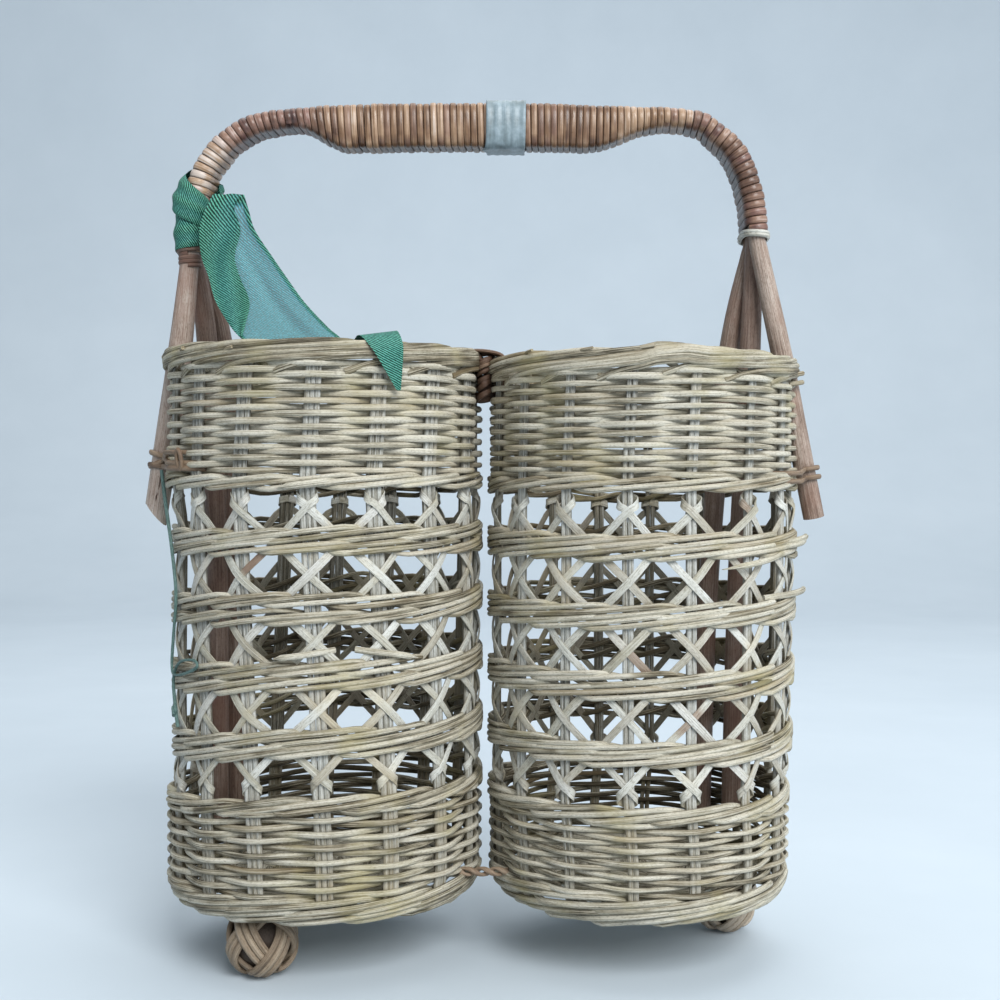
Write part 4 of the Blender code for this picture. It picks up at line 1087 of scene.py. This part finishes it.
def make_wrap(name, line, start, end, pitch, finish, replaces):
    """Split cane wound closely along part of the handle."""
    strands = Strands(name)
    turns = max(int(round((end - start) / pitch)), 1)
    pitch = (end - start) / turns
    per_turn = 40
    count = turns * per_turn + 1
    wound = np.arange(count) / per_turn
    hues = np.array(wrap_hues).T
    centre = start + pitch * (wound - 0.5)
    share = centre / line.total
    own = np.array([rng.uniform(-0.25, 0.2) for _ in range(turns + 2)])[np.floor(wound).astype(int)]
    reddened = np.array([rng.random() for _ in range(turns + 2)])[np.floor(wound).astype(int)]
    tone = np.interp(share, hues[0], hues[1]) + own
    warmth = np.clip(np.interp(share, hues[0], hues[2]) + np.where(reddened > 0.82, 0.45, 0) + own * 0.4, 0, 1)
    profile = ((-0.5, -0.9), (-0.47, 0.2), (-0.32, 0.75), (0.0, 1.0), (0.32, 0.75), (0.47, 0.2), (0.5, -0.9))
    slack = wander(share, 0.00026, 60) + wander(share, 0.00012, 90)
    round_share = np.mod(wound + 0.55, 1)
    # Each turn is darker where it runs under the handle: painted shade for the underside
    tone = tone + wander(share, 0.05, 90) - 0.42 * np.exp(-(((round_share - 0.74) / 0.14) ** 2))
    proud = np.array([rng.uniform(-0.00015, 0.0002) for _ in range(turns + 2)])[np.floor(wound).astype(int)]
    rings, grain = [], []
    for across, lift in profile:
        length = np.clip(centre + across * pitch * 0.99 + slack, 0, line.total)
        turn = 2 * np.pi * (wound + 0.55)
        rings.append(line.skin(length, turn, 0.0009 + proud + 0.0004 * lift))
        grain.append(np.stack([wound * 0.062, np.full(count, across * 0.003), np.full(count, lift * 0.001)], -1))
    strands.surface(np.stack(rings, 1), np.stack(grain, 1), tone, warmth, closed_across=False)
    strands.build(finish, replaces)


def make_canes(line, left, right, finish):
    """Three canes side by side under the wrapping, which fan out below it."""
    lengths = np.linspace(0, line.total, 90)
    for side, key in ((-1, "front"), (0, "middle"), (1, "back")):
        arm = line.place(lengths)
        arm[:, 1] = side * (line.girth(lengths) + CANE_GAP)
        ends = []
        for basket in (left, right):
            if side < 0:
                low = basket.upper_bottom - OUTER_CANE_DROP
                ends.append(list(outer_cane_end(basket, [basket.rim_top, (basket.rim_top + low) / 2, low])))
            else:
                ends.append(inner_cane_end(basket, inner_cane_places[key, basket.side]))
        low_left = smooth_path([*reversed(ends[0]), arm[0], arm[2]], 10)[:-11]
        low_right = smooth_path([arm[-3], arm[-1], *ends[1]], 10)[11:]
        girths = []
        for points, basket, tip, fullness in ((low_left, left, arm[0], 1.1), (low_right, right, arm[-1], 0.98)):
            share = np.clip((points[:, 2] - basket.rim_top) / (tip[2] - basket.rim_top), 0, 1)
            full = CANE_DIAMETER * (fullness if side < 0 else 1)
            girths.append(full + (line.girth(0.0) - full) * share)
        route = np.vstack([low_left, arm, low_right])
        width = np.concatenate([girths[0], line.girth(lengths), girths[1]])
        share = np.linspace(0, 1, len(route))
        width = width * (1 + wander(share, 0.012, 30))
        # The front cane's tone falls from its lower left end to its right end; its pale left end is painted light
        # that lifts the shadow there
        tone = (np.interp(share, (0, 0.12, 1), (0.95, 0.72, 0.46)) if side < 0 else 0.45) + wander(share, 0.07, 12)
        warmth = np.clip((0.08 if side < 0 else 0.3) + wander(share, 0.1, 9), 0, 1)
        strands = Strands(f"rattan_cane_{key}")
        slant = 0.9 if side < 0 else 0
        strands.add(route, (0, -1.0, 0), width, width, tone, warmth, sides=20, slant=slant)
        strands.build(finish, [f"handle_cane_{key}"])


def make_cane_ring(line, finish):
    """Dark turns round the left front cane, under the knot."""
    strands = Strands("left_cane_ring")
    share = np.linspace(0, 1, 61)
    turn = 2 * np.pi * 3 * share
    reach = line.girth(0.0) / 2 + 0.0006
    middle = line.place(0.0) - np.array([0, line.girth(0.0) + CANE_GAP, 0.0042])
    outward = np.stack([np.sin(turn), -np.cos(turn), 0 * turn], -1)
    path = middle + outward * reach
    path[:, 2] += 0.0042 * share
    strands.add(path, outward, 0.0015, 0.0009, 0.12, 0.3)
    strands.build(finish)


def make_cane_cracks(basket, finish):
    """Dark splits in the outer cane's lower end."""
    strands = Strands(f"{basket.side}_cane_cracks")
    for low, high, aside in cane_cracks:
        height = np.linspace(low, high, 8)
        middle = outer_cane_end(basket, height)
        share = np.linspace(0, 1, 8)
        path = middle + np.array([0, -1.0, 0]) * (CANE_DIAMETER * 1.1 / 2 - 0.0001)
        path[:, 0] += aside + wander(share, 0.0001)
        strands.add(path, (0, -1.0, 0), 0.0006 * np.sin(np.pi * (share * 0.9 + 0.05)), 0.0005, -0.8)
    strands.build(finish)


def make_filler(line, finish):
    strands = Strands("grip_filling")
    lengths = np.linspace(line.grip_start + 0.006, line.grip_end - 0.01, 30)
    drop = line.filler(lengths)
    path = line.place(lengths) - line.outward(lengths) * (line.girth(lengths) / 2 + drop / 2)[:, None]
    strands.add(path, line.outward(lengths), 0.0125, np.maximum(drop, 0.0006), 0.4, sides=12, boxy=0.6)
    strands.build(finish, ["grip_filler"])


def make_end_rings(line, pale, bark):
    """The cane ring where the wrapping ends: dark on the left arm and pale on the right."""
    for name, start, lean, finish, slot, tone in (
        ("left", 0.0, -0.0004, bark, "rattan", 0.1),
        ("right", line.total - 0.0042, 0.0014, pale, "pale_cane", 0.75),
    ):
        strands = Strands(f"wrap_end_ring_{name}")
        turns = 2
        wound = np.linspace(0, turns, turns * 40 + 1)
        rings, grain = [], []
        for across, lift in ((-0.5, 0.0), (-0.4, 0.7), (0.0, 1.0), (0.4, 0.7), (0.5, 0.0)):
            length = start + 0.0008 + wound * 0.0010 + across * 0.0016 + lean * np.sin(2 * np.pi * wound)
            length = np.clip(length, 0, line.total)
            rings.append(line.skin(length, 2 * np.pi * wound, 0.0007 + 0.0011 * lift))
            grain.append(np.stack([wound * 0.062, 0 * wound + across * 0.0016, 0 * wound + lift * 0.001], -1))
        strands.surface(np.stack(rings, 1), np.stack(grain, 1), tone, 0.0, closed_across=False)
        strands.build(finish, [f"end_ring_{name}"])


def make_tape(line, finish):
    low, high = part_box("grip_tape")
    start = float(np.interp(low.x, line.line[:, 0], line.lengths))
    end = float(np.interp(high.x, line.line[:, 0], line.lengths))
    strands = Strands("tape_band")
    turn = np.linspace(0, 2 * np.pi, 73)[:-1]
    rings, grain = [], []
    steps = 25
    for k in range(steps):
        share = k / (steps - 1)
        length = start + (end - start) * share + wander(turn / (2 * np.pi), 0.00016, 4) * (1 if k in (0, steps - 1) else 0.4)
        ripple = 0.00012 * math.sin(share * 9 * math.pi)
        below = np.exp(-(((turn / (2 * np.pi) - 0.66) / 0.09) ** 2))
        length = length - 0.0016 * below * (1 - share) ** 2
        rings.append(line.skin(length, turn, 0.0019 + ripple))
        grain.append(np.stack([turn * 0.01, 0 * turn + share * 0.013, 0 * turn], -1))
    strands.surface(np.stack(rings, 0), np.stack(grain, 0), 0.5, 0.0, closed_across=True)
    strands.faces = [face for face in strands.faces if len(face) == 4]
    piece = strands.build(finish, ["grip_tape"])
    thick = piece.modifiers.new("film", "SOLIDIFY")
    thick.thickness = 0.0003
    return piece


def outer_cane_end(basket, height):
    """The middle of the outer cane below the rim, at a height."""
    height = np.asarray(height, float)
    low = basket.upper_bottom - OUTER_CANE_DROP
    reach = basket.radius + CANE_STANDOFFS[basket.side]
    at_rim = basket.radius - RIM_SKIN - CANE_DIAMETER / 2
    share = (height - low) / (basket.rim_top - low)
    low_x, low_y = reach, -reach * math.sin(math.radians(3))
    high_x, high_y = at_rim * math.cos(math.radians(9)), -at_rim * math.sin(math.radians(9))
    x = basket.axis + basket.outward * (low_x + (high_x - low_x) * share)
    return np.stack(np.broadcast_arrays(x, low_y + (high_y - low_y) * share, height), -1)


def inner_cane_end(basket, places):
    """Three places of an inner cane: at the rim, half way down and at its seat."""
    seat = basket.bottom + INNER_CANE_SEAT
    end = []
    for (share, degrees), height in zip(places, (basket.rim_top, (basket.rim_top + seat) / 2, seat)):
        turn = math.radians(degrees)
        reach = (basket.radius - FREE_INSET) * share
        x = basket.axis + basket.outward * reach * math.cos(turn)
        end.append(np.array([x, reach * math.sin(turn), height]))
    return end


def reed_warmth(count):
    """How golden each reed of a long strand is: most are grey, and a few are brown."""
    return strand_tone(count) ** 4 * rng.uniform(0.1, 1.0)


def cloth(name, rows, dense, finish, ripple, replaces=()):
    """A sheet of ribbon from rows of points that run across it."""
    rows = np.asarray(rows, float)
    along = np.concatenate([[0], np.cumsum(np.linalg.norm(np.diff(rows.mean(1), axis=0), axis=1))])
    across = np.linalg.norm(np.diff(rows, axis=1), axis=2)
    across = np.concatenate([np.zeros((len(rows), 1)), np.cumsum(across, 1)], 1)
    down = np.gradient(rows, axis=0)
    over = np.gradient(rows, axis=1)
    face = unit(np.cross(over, down))
    rows = rows + face * ripple[..., None]
    strands = Strands(name)
    grain = np.stack([np.broadcast_to(along[:, None], across.shape), across, 0 * across], -1)
    strands.surface(rows, grain, 0.0, 0.0, closed_across=False)
    strands.tone = [dense.ravel()]
    return strands.build(finish, replaces)


def ribbon_rows(edges, columns):
    """Rows of points between a left and a right edge, given as rows of six numbers in mm."""
    edges = smooth_path(np.array(edges) / 1000, 8)
    share = np.linspace(0, 1, columns)[None, :, None]
    return edges[:, None, :3] * (1 - share) + edges[:, None, 3:] * share


def make_ribbon_tail(finish):
    """The ribbon's long tail, single and sheer, with its left side folded back double."""
    rows = ribbon_rows(ribbon_edges, 57)
    count, columns = rows.shape[:2]
    share = np.linspace(0, 1, columns)[None, :]
    down = np.linspace(0, 1, count)[:, None]
    swell = np.sin(np.pi * share) * np.clip(share * 1.6 - 0.6, 0, 1) * np.sin(np.pi * np.clip(down * 1.6, 0, 1))
    ripple = swell * (0.0022 * np.sin(2 * np.pi * (share * 1.5 + down * 0.9)) + 0.0007 * np.sin(2 * np.pi * (share * 4 - down)))
    selvedge = np.minimum(share, 1 - share) * np.linalg.norm(rows[:, -1] - rows[:, 0], axis=1)[:, None]
    dense = np.clip((0.0017 - selvedge) / 0.0006, 0, 0.85)
    # The top is gathered where it leaves the knot, and the tip over the rim is crumpled
    dense = np.maximum(dense, np.clip((0.045 - down) / 0.02, 0, 0.9) + 0 * share)
    dense = np.maximum(dense, np.clip((down - 0.72) / 0.05, 0, 0.8) + 0 * share)
    tail = cloth("ribbon_long_tail", rows, dense, finish, ripple, ["ribbon_tail"])
    fold_edges = [(*left, *right) for left, right in zip([row[:3] for row in ribbon_edges[:8]], ribbon_fold_edge)]
    fold = ribbon_rows(fold_edges, 25)
    fold[..., 1] -= 0.0016
    share = np.linspace(0, 1, 25)[None, :]
    down = np.linspace(0, 1, len(fold))[:, None]
    ripple = 0.0007 * np.sin(np.pi * share) * np.sin(2 * np.pi * (share + down * 2))
    over = cloth("ribbon_folded_side", fold, 0.82 + 0.12 * np.sin(5 * share + 4 * down), finish, ripple)


def make_ribbon_knot(line, finish):
    """The ribbon's turns round the left arm: a low turn, and a slanted one over it."""
    for name, marks, replaces in (
        ("ribbon_wound_knot", knot_low_turn, ["ribbon_knot"]),
        ("ribbon_slanted_turn", knot_slanted_turn, []),
    ):
        marks = smooth_path(np.array(marks), 8)
        share = np.linspace(0, 1, 25)[None, :]
        turn = np.radians(marks[:, :1]) + 0 * share
        length = (marks[:, 1:2] * (1 - share) + marks[:, 2:3] * share) / 1000
        puff = np.sin(np.pi * share) ** 0.6
        lift = (marks[:, 3:4] * (0.35 + 0.65 * puff) + marks[:, 4:5] * share) / 1000
        pleats = np.sin(2 * np.pi * (share * 2.2 + turn / 3))
        rows = line.skin(length, turn, lift + 0.0016 + 0.00035 * pleats * puff)
        dense = 0.84 + 0.1 * pleats
        wound = cloth(name, rows, dense, finish, 0 * pleats, replaces)


def make_lashing(basket, turns, finish):
    """Turns of thin reed round the outer cane, with both ends tucked into the wall."""
    strands = Strands(f"reed_lashing_{basket.side}")
    for height, slope, width, entry in turns:
        centre = outer_cane_end(basket, height)
        reach = CANE_DIAMETER / 2 * 1.1 + 0.0006
        path = []
        for degrees, radius, drop in ((entry + 12, -0.0036, 0.3), (entry + 3, 0.0, 0.1), (entry - 5, 0.0012, 0.0)):
            spot = basket.spot(math.radians(90 - degrees) * basket.outward, basket.radius + radius, height)
            path.append([spot[0], spot[1], height - slope * 0.0085 - drop * 0.001])
        start = np.array(path[-1])
        turn = math.radians(-100)
        meets = np.array(
            [
                centre[0] + basket.outward * reach * math.cos(turn),
                centre[1] + reach * math.sin(turn),
                height + slope * reach * math.cos(turn),
            ]
        )
        path += [list(start + (meets - start) * share) for share in (0.2, 0.4, 0.6, 0.78, 0.9)]
        for degrees in range(-100, 141, 20):
            turn = math.radians(degrees)
            x = centre[0] + basket.outward * reach * math.cos(turn)
            path.append([x, centre[1] + reach * math.sin(turn), height + slope * reach * math.cos(turn)])
        spot = basket.spot(math.radians(90 + 16) * basket.outward, basket.radius - 0.003, height)
        path.append([spot[0], spot[1], height])
        path = smooth_path(path, 4)
        share = np.linspace(0, 1, len(path))
        away = path - np.array([basket.axis + basket.outward * (basket.radius - 0.002), centre[1], 0])
        away[:, 2] = 0
        tone = rng.uniform(0.25, 0.5) + wander(share, 0.08)
        strands.add(path, unit(away), width, 0.0013, tone, 0.15 + 0.1 * share)
    turn = np.linspace(0, 2 * np.pi, 25)[:-1]
    for degrees, height, rise in lashing_loops[basket.side]:
        around = np.radians(degrees) + 0.0016 / basket.radius * np.cos(turn)
        path = basket.spot(around, basket.radius + 0.0008 + 0.0004 * np.sin(turn), height + rise * np.sin(turn))
        radial = basket.spot(around, basket.radius + 0.01, path[:, 2]) - path
        radial[:, 2] = 0
        strands.add(path, radial, 0.0017, 0.0013, 0.3, 0.2, closed=True)
    strands.build(finish, [f"cane_lashing_{basket.side}"])


def make_rim_tie(left, right, finish):
    """Dark reeds wound over both rims where the baskets touch."""
    strands = Strands("rim_binding")
    top = max(left.rim_top, right.rim_top) - 0.0004
    low = left.upper_top - 0.006
    for number in range(6):
        y = -0.0125 + 0.0022 * number
        lean = rng.uniform(-0.0014, 0.0014)
        path = []
        for x, z in (
            (-0.0062, low), (-0.0072, low + 0.006), (-0.0066, top - 0.0016), (-0.0035, top),
            (0.0035, top - 0.0006), (0.0068, top - 0.0030), (0.0072, low + 0.004), (0.0060, low - 0.001),
        ):
            path.append([x, y + lean * x / 0.007, z + rng.uniform(-0.0003, 0.0003)])
        path = smooth_path(path, 5)
        facing = path - np.array([0, y, (top + low) / 2])
        facing[:, 1] = 0
        strands.add(path, facing, 0.0025, 0.0013, rng.uniform(-0.1, 0.25), 0.35)
    gap = (left.axis + left.radius + right.axis - right.radius) / 2
    share = np.linspace(0, 1, 161)
    for hand, depth, half, bottom, tone in ((1, -0.0085, 0.0023, 0.0030, 0.0), (-1, -0.0045, 0.0030, 0.0045, -0.45)):
        turn = 2 * np.pi * 6.5 * share + wander(share, 0.9)
        outward = np.stack([np.cos(turn), hand * np.sin(turn), 0 * turn], -1)
        path = np.array([gap, depth, 0]) + outward * np.array([half, 0.0045, 0])
        path[:, 0] *= 1 + wander(share, 0.1, 9)
        path[:, 2] = low - bottom + (top - low + bottom - 0.0012) * share + 0.0008 * np.cos(turn) + wander(share, 0.0006)
        strands.add(path, outward, 0.0018 * (1 + wander(share, 0.2, 14)), 0.0011, tone + wander(share, 0.25, 8), 0.3)
    strands.build(finish, ["rim_tie"])


def make_base_tie(left, right, finish):
    """Two reeds twisted together between the feet of the walls."""
    strands = Strands("base_binding")
    low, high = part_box("base_tie")
    middle_y, middle_z = (low.y + high.y) / 2, (low.z + high.z) / 2
    share = np.linspace(0, 1, 40)
    x = low.x - 0.001 + (high.x - low.x + 0.002) * share
    for phase in (0, np.pi):
        turn = 2 * np.pi * 1.6 * share + phase
        y = middle_y + 0.0010 * np.cos(turn)
        z = middle_z + 0.0010 * np.sin(turn)
        facing = np.stack([0 * x, np.cos(turn), np.sin(turn)], -1)
        strands.add(np.stack([x, y, z], -1), facing, 0.0019, 0.0013, 0.5, 0.2)
    strands.build(finish, ["base_tie"])


def make_thread(basket, finish):
    """The mending thread, which runs down the left side from the lashing to the lower wall."""
    strands = Strands("mending_thread")
    for marks in thread_runs:
        degrees, proud, height = np.array(marks).T
        path = basket.spot(np.radians(degrees), basket.radius + proud / 1000, height / 1000)
        path = smooth_path(path, 8)
        share = np.linspace(0, 1, len(path))
        width = 0.0011 * (1 + wander(share, 0.15, 9))
        strands.add(path, (0, -1.0, 0.2), width, width, 0.5, sides=6)
    strands.build(finish)


def pale_floor():
    """Pale to the eye and in reflections, duller where it throws light back up, and darkened towards the front by
    painted shade that holds down the key lamp's bright patch.
    """
    finish = Finish("pale_floor", 0.8)
    speckle = finish.noise(finish.place(), scale=6, detail=4)
    rays = finish.node("LightPath").outputs
    seen = finish.math("MAXIMUM", rays["Is Camera Ray"], rays["Is Glossy Ray"])
    seen = finish.math("MAXIMUM", seen, rays["Is Transmission Ray"])
    bright = finish.ramp(speckle, ((0.3, (0.60, 0.69, 0.76)), (0.7, (0.64, 0.73, 0.80))))
    near = finish.node("SeparateXYZ")
    finish.feed(near.inputs[0], finish.node("NewGeometry").outputs["Position"])
    # Darker towards the front: painted shade against the key lamp's bright patch
    front_shade = finish.node("MapRange")
    finish.feed(front_shade.inputs["Value"], near.outputs["Y"])
    for name, value in (("From Min", -0.12), ("From Max", -0.9), ("To Min", 0.0), ("To Max", 1.0)):
        front_shade.inputs[name].default_value = value
    bright = finish.mix(front_shade.outputs["Result"], bright, (0.30, 0.34, 0.37))
    finish.feed(finish.shader.inputs["Base Color"], finish.mix(seen, (0.42, 0.48, 0.54), bright))
    return finish.material


def make_floor():
    """A pale floor that curves up into a backdrop."""
    profile = [(-9.0, 0.0), (1.2, 0.0)]
    for k in range(1, 13):
        turn = math.pi / 2 * k / 12
        profile.append((1.2 + 0.8 * math.sin(turn), 0.8 * (1 - math.cos(turn))))
    profile.append((2.0, 3.0))
    points, faces = [], []
    for y, z in profile:
        points += [(-8.0, y, z), (8.0, y, z)]
    for k in range(len(profile) - 1):
        faces.append((2 * k, 2 * k + 1, 2 * k + 3, 2 * k + 2))
    mesh = bpy.data.meshes.new("floor")
    mesh.from_pydata(points, [], faces)
    mesh.shade_smooth()
    floor = bpy.data.objects.new("floor", mesh)
    bpy.context.scene.collection.objects.link(floor)
    mesh.materials.append(pale_floor())


def make_light(name, place, aim, size, power, colour=(1, 1, 1)):
    lamp = bpy.data.lights.new(name, "AREA")
    lamp.shape = "RECTANGLE"
    lamp.size, lamp.size_y = size
    lamp.energy = power
    lamp.color = colour
    made = bpy.data.objects.new(name, lamp)
    made.location = place
    made.rotation_euler = (Vector(aim) - Vector(place)).to_track_quat("-Z", "Y").to_euler()
    made.visible_camera = False
    bpy.context.scene.collection.objects.link(made)


def make_world():
    """An even light from all round, paler where the camera sees it."""
    world = bpy.data.worlds.new("studio")
    world.use_nodes = True
    nodes, links = world.node_tree.nodes, world.node_tree.links
    nodes["Background"].inputs["Color"].default_value = (0.90, 0.95, 1.0, 1.0)
    strength = nodes.new("ShaderNodeMath")
    strength.operation = "MULTIPLY_ADD"
    strength.inputs[1].default_value = 0.35
    strength.inputs[2].default_value = WORLD_LIGHT
    rays = nodes.new("ShaderNodeLightPath").outputs
    seen = rays["Is Camera Ray"]
    for kind in ("Is Glossy Ray", "Is Transmission Ray"):
        either = nodes.new("ShaderNodeMath")
        either.operation = "MAXIMUM"
        links.new(seen, either.inputs[0])
        links.new(rays[kind], either.inputs[1])
        seen = either.outputs[0]
    links.new(seen, strength.inputs[0])
    links.new(strength.outputs[0], nodes["Background"].inputs["Strength"])
    bpy.context.scene.world = world


def make_camera():
    lens = bpy.data.cameras.new("camera")
    lens.lens = CAMERA_LENS
    lens.sensor_width = 36.0
    camera = bpy.data.objects.new("camera", lens)
    camera.location = CAMERA_PLACE
    camera.rotation_euler = (math.pi / 2 - CAMERA_DOWN, 0, 0)
    bpy.context.scene.collection.objects.link(camera)
    bpy.context.scene.camera = camera


def main():
    make_camera()
    make_floor()
    make_world()
    make_light("key", (0.9, -2.1, 1.65), (0, 0, 0.16), (1.4, 1.4), 68)
    make_light("fill", (1.1, -0.5, 0.5), (0, 0, 0.14), (0.8, 0.8), 3, (0.9, 0.95, 1.0))
    make_light("overhead", (0.1, 0.5, 1.5), (0, 0.2, 0), (1.6, 1.6), 12)
    bpy.context.scene.view_settings.view_transform = "Standard"

    left = Basket(
        "left",
        LEFT_RADIUS,
        -2,
        (-46.5, -25.0, 0.0, 23.5, 46.0, 69.5),
        ((0.045, 6.3), (0.100, 3.5), (0.161, 0.4), (0.208, 3.6)),
        ((0.025, 0.0015), (0.063, 0.0062), (0.084, 0.0058), (0.106, 0.0043), (0.128, 0.003), (0.150, 0.0006), (0.2, 0.0)),
        ((0.060, 0.0), (0.075, 0.0022), (0.150, 0.0022), (0.164, 0.0)),
    )
    right = Basket(
        "right",
        RIGHT_RADIUS,
        -3,
        (-79.0, -56.0, -33.8, -10.2, 12.6, 36.8, 60.0),
        ((0.040, 2.0), (0.060, 0.0), (0.161, 0.0), (0.205, 2.6)),
        ((0.025, 0.0), (0.2, 0.0)),
        ((0.055, 0.0024), (0.075, 0.0015), (0.140, 0.0), (0.2, 0.0)),
    )
    reed = woven_reed()
    stake = stake_reed()
    pale = pale_cane()
    tan = tan_cane()
    bark = rattan()
    wrap = wrap_cane()
    for basket, lower_rows, upper_rows, reeds in ((left, 13, 18, 3), (right, 12, 19, 2)):
        make_base(basket, reed)
        make_lower_wall(basket, lower_rows, reed)
        make_upper_wall(basket, upper_rows, reed)
        make_hoops(basket, reed)
        make_stakes(basket, reeds, stake)
        make_lattice(basket, pale)
        make_loose_reeds(basket, reed, pale)
        make_rim(basket, reed, rim_humps[basket.side], rim_ends[basket.side], rim_shades[basket.side])
    for name, start, shade in (("foot_front_left", 20, -0.1), ("foot_back_left", 65, 0.2), ("foot_back_right", 200, 0.6)):
        make_foot(name, start, shade, tan)
    line = HandleLine(left, right)
    make_canes(line, left, right, bark)
    make_cane_ring(line, bark)
    make_cane_cracks(left, bark)
    make_filler(line, bark)
    make_wrap("cane_wrap_left_arm", line, 0.003, line.grip_start, 0.0026, wrap, ["wrap_left_arm"])
    make_wrap("cane_wrap_grip", line, line.grip_start, line.grip_end, 0.0023, wrap, ["wrap_grip"])
    make_wrap("cane_wrap_right_arm", line, line.grip_end, line.total - 0.003, 0.0026, wrap, ["wrap_right_arm"])
    make_end_rings(line, pale, bark)
    make_tape(line, grey_tape())
    make_lashing(left, left_lashing, tan)
    make_lashing(right, right_lashing, tan)
    make_rim_tie(left, right, tan)
    make_base_tie(left, right, tan)
    green = green_ribbon()
    make_ribbon_knot(line, green)
    make_ribbon_tail(green)
    make_thread(left, green_thread())



main()
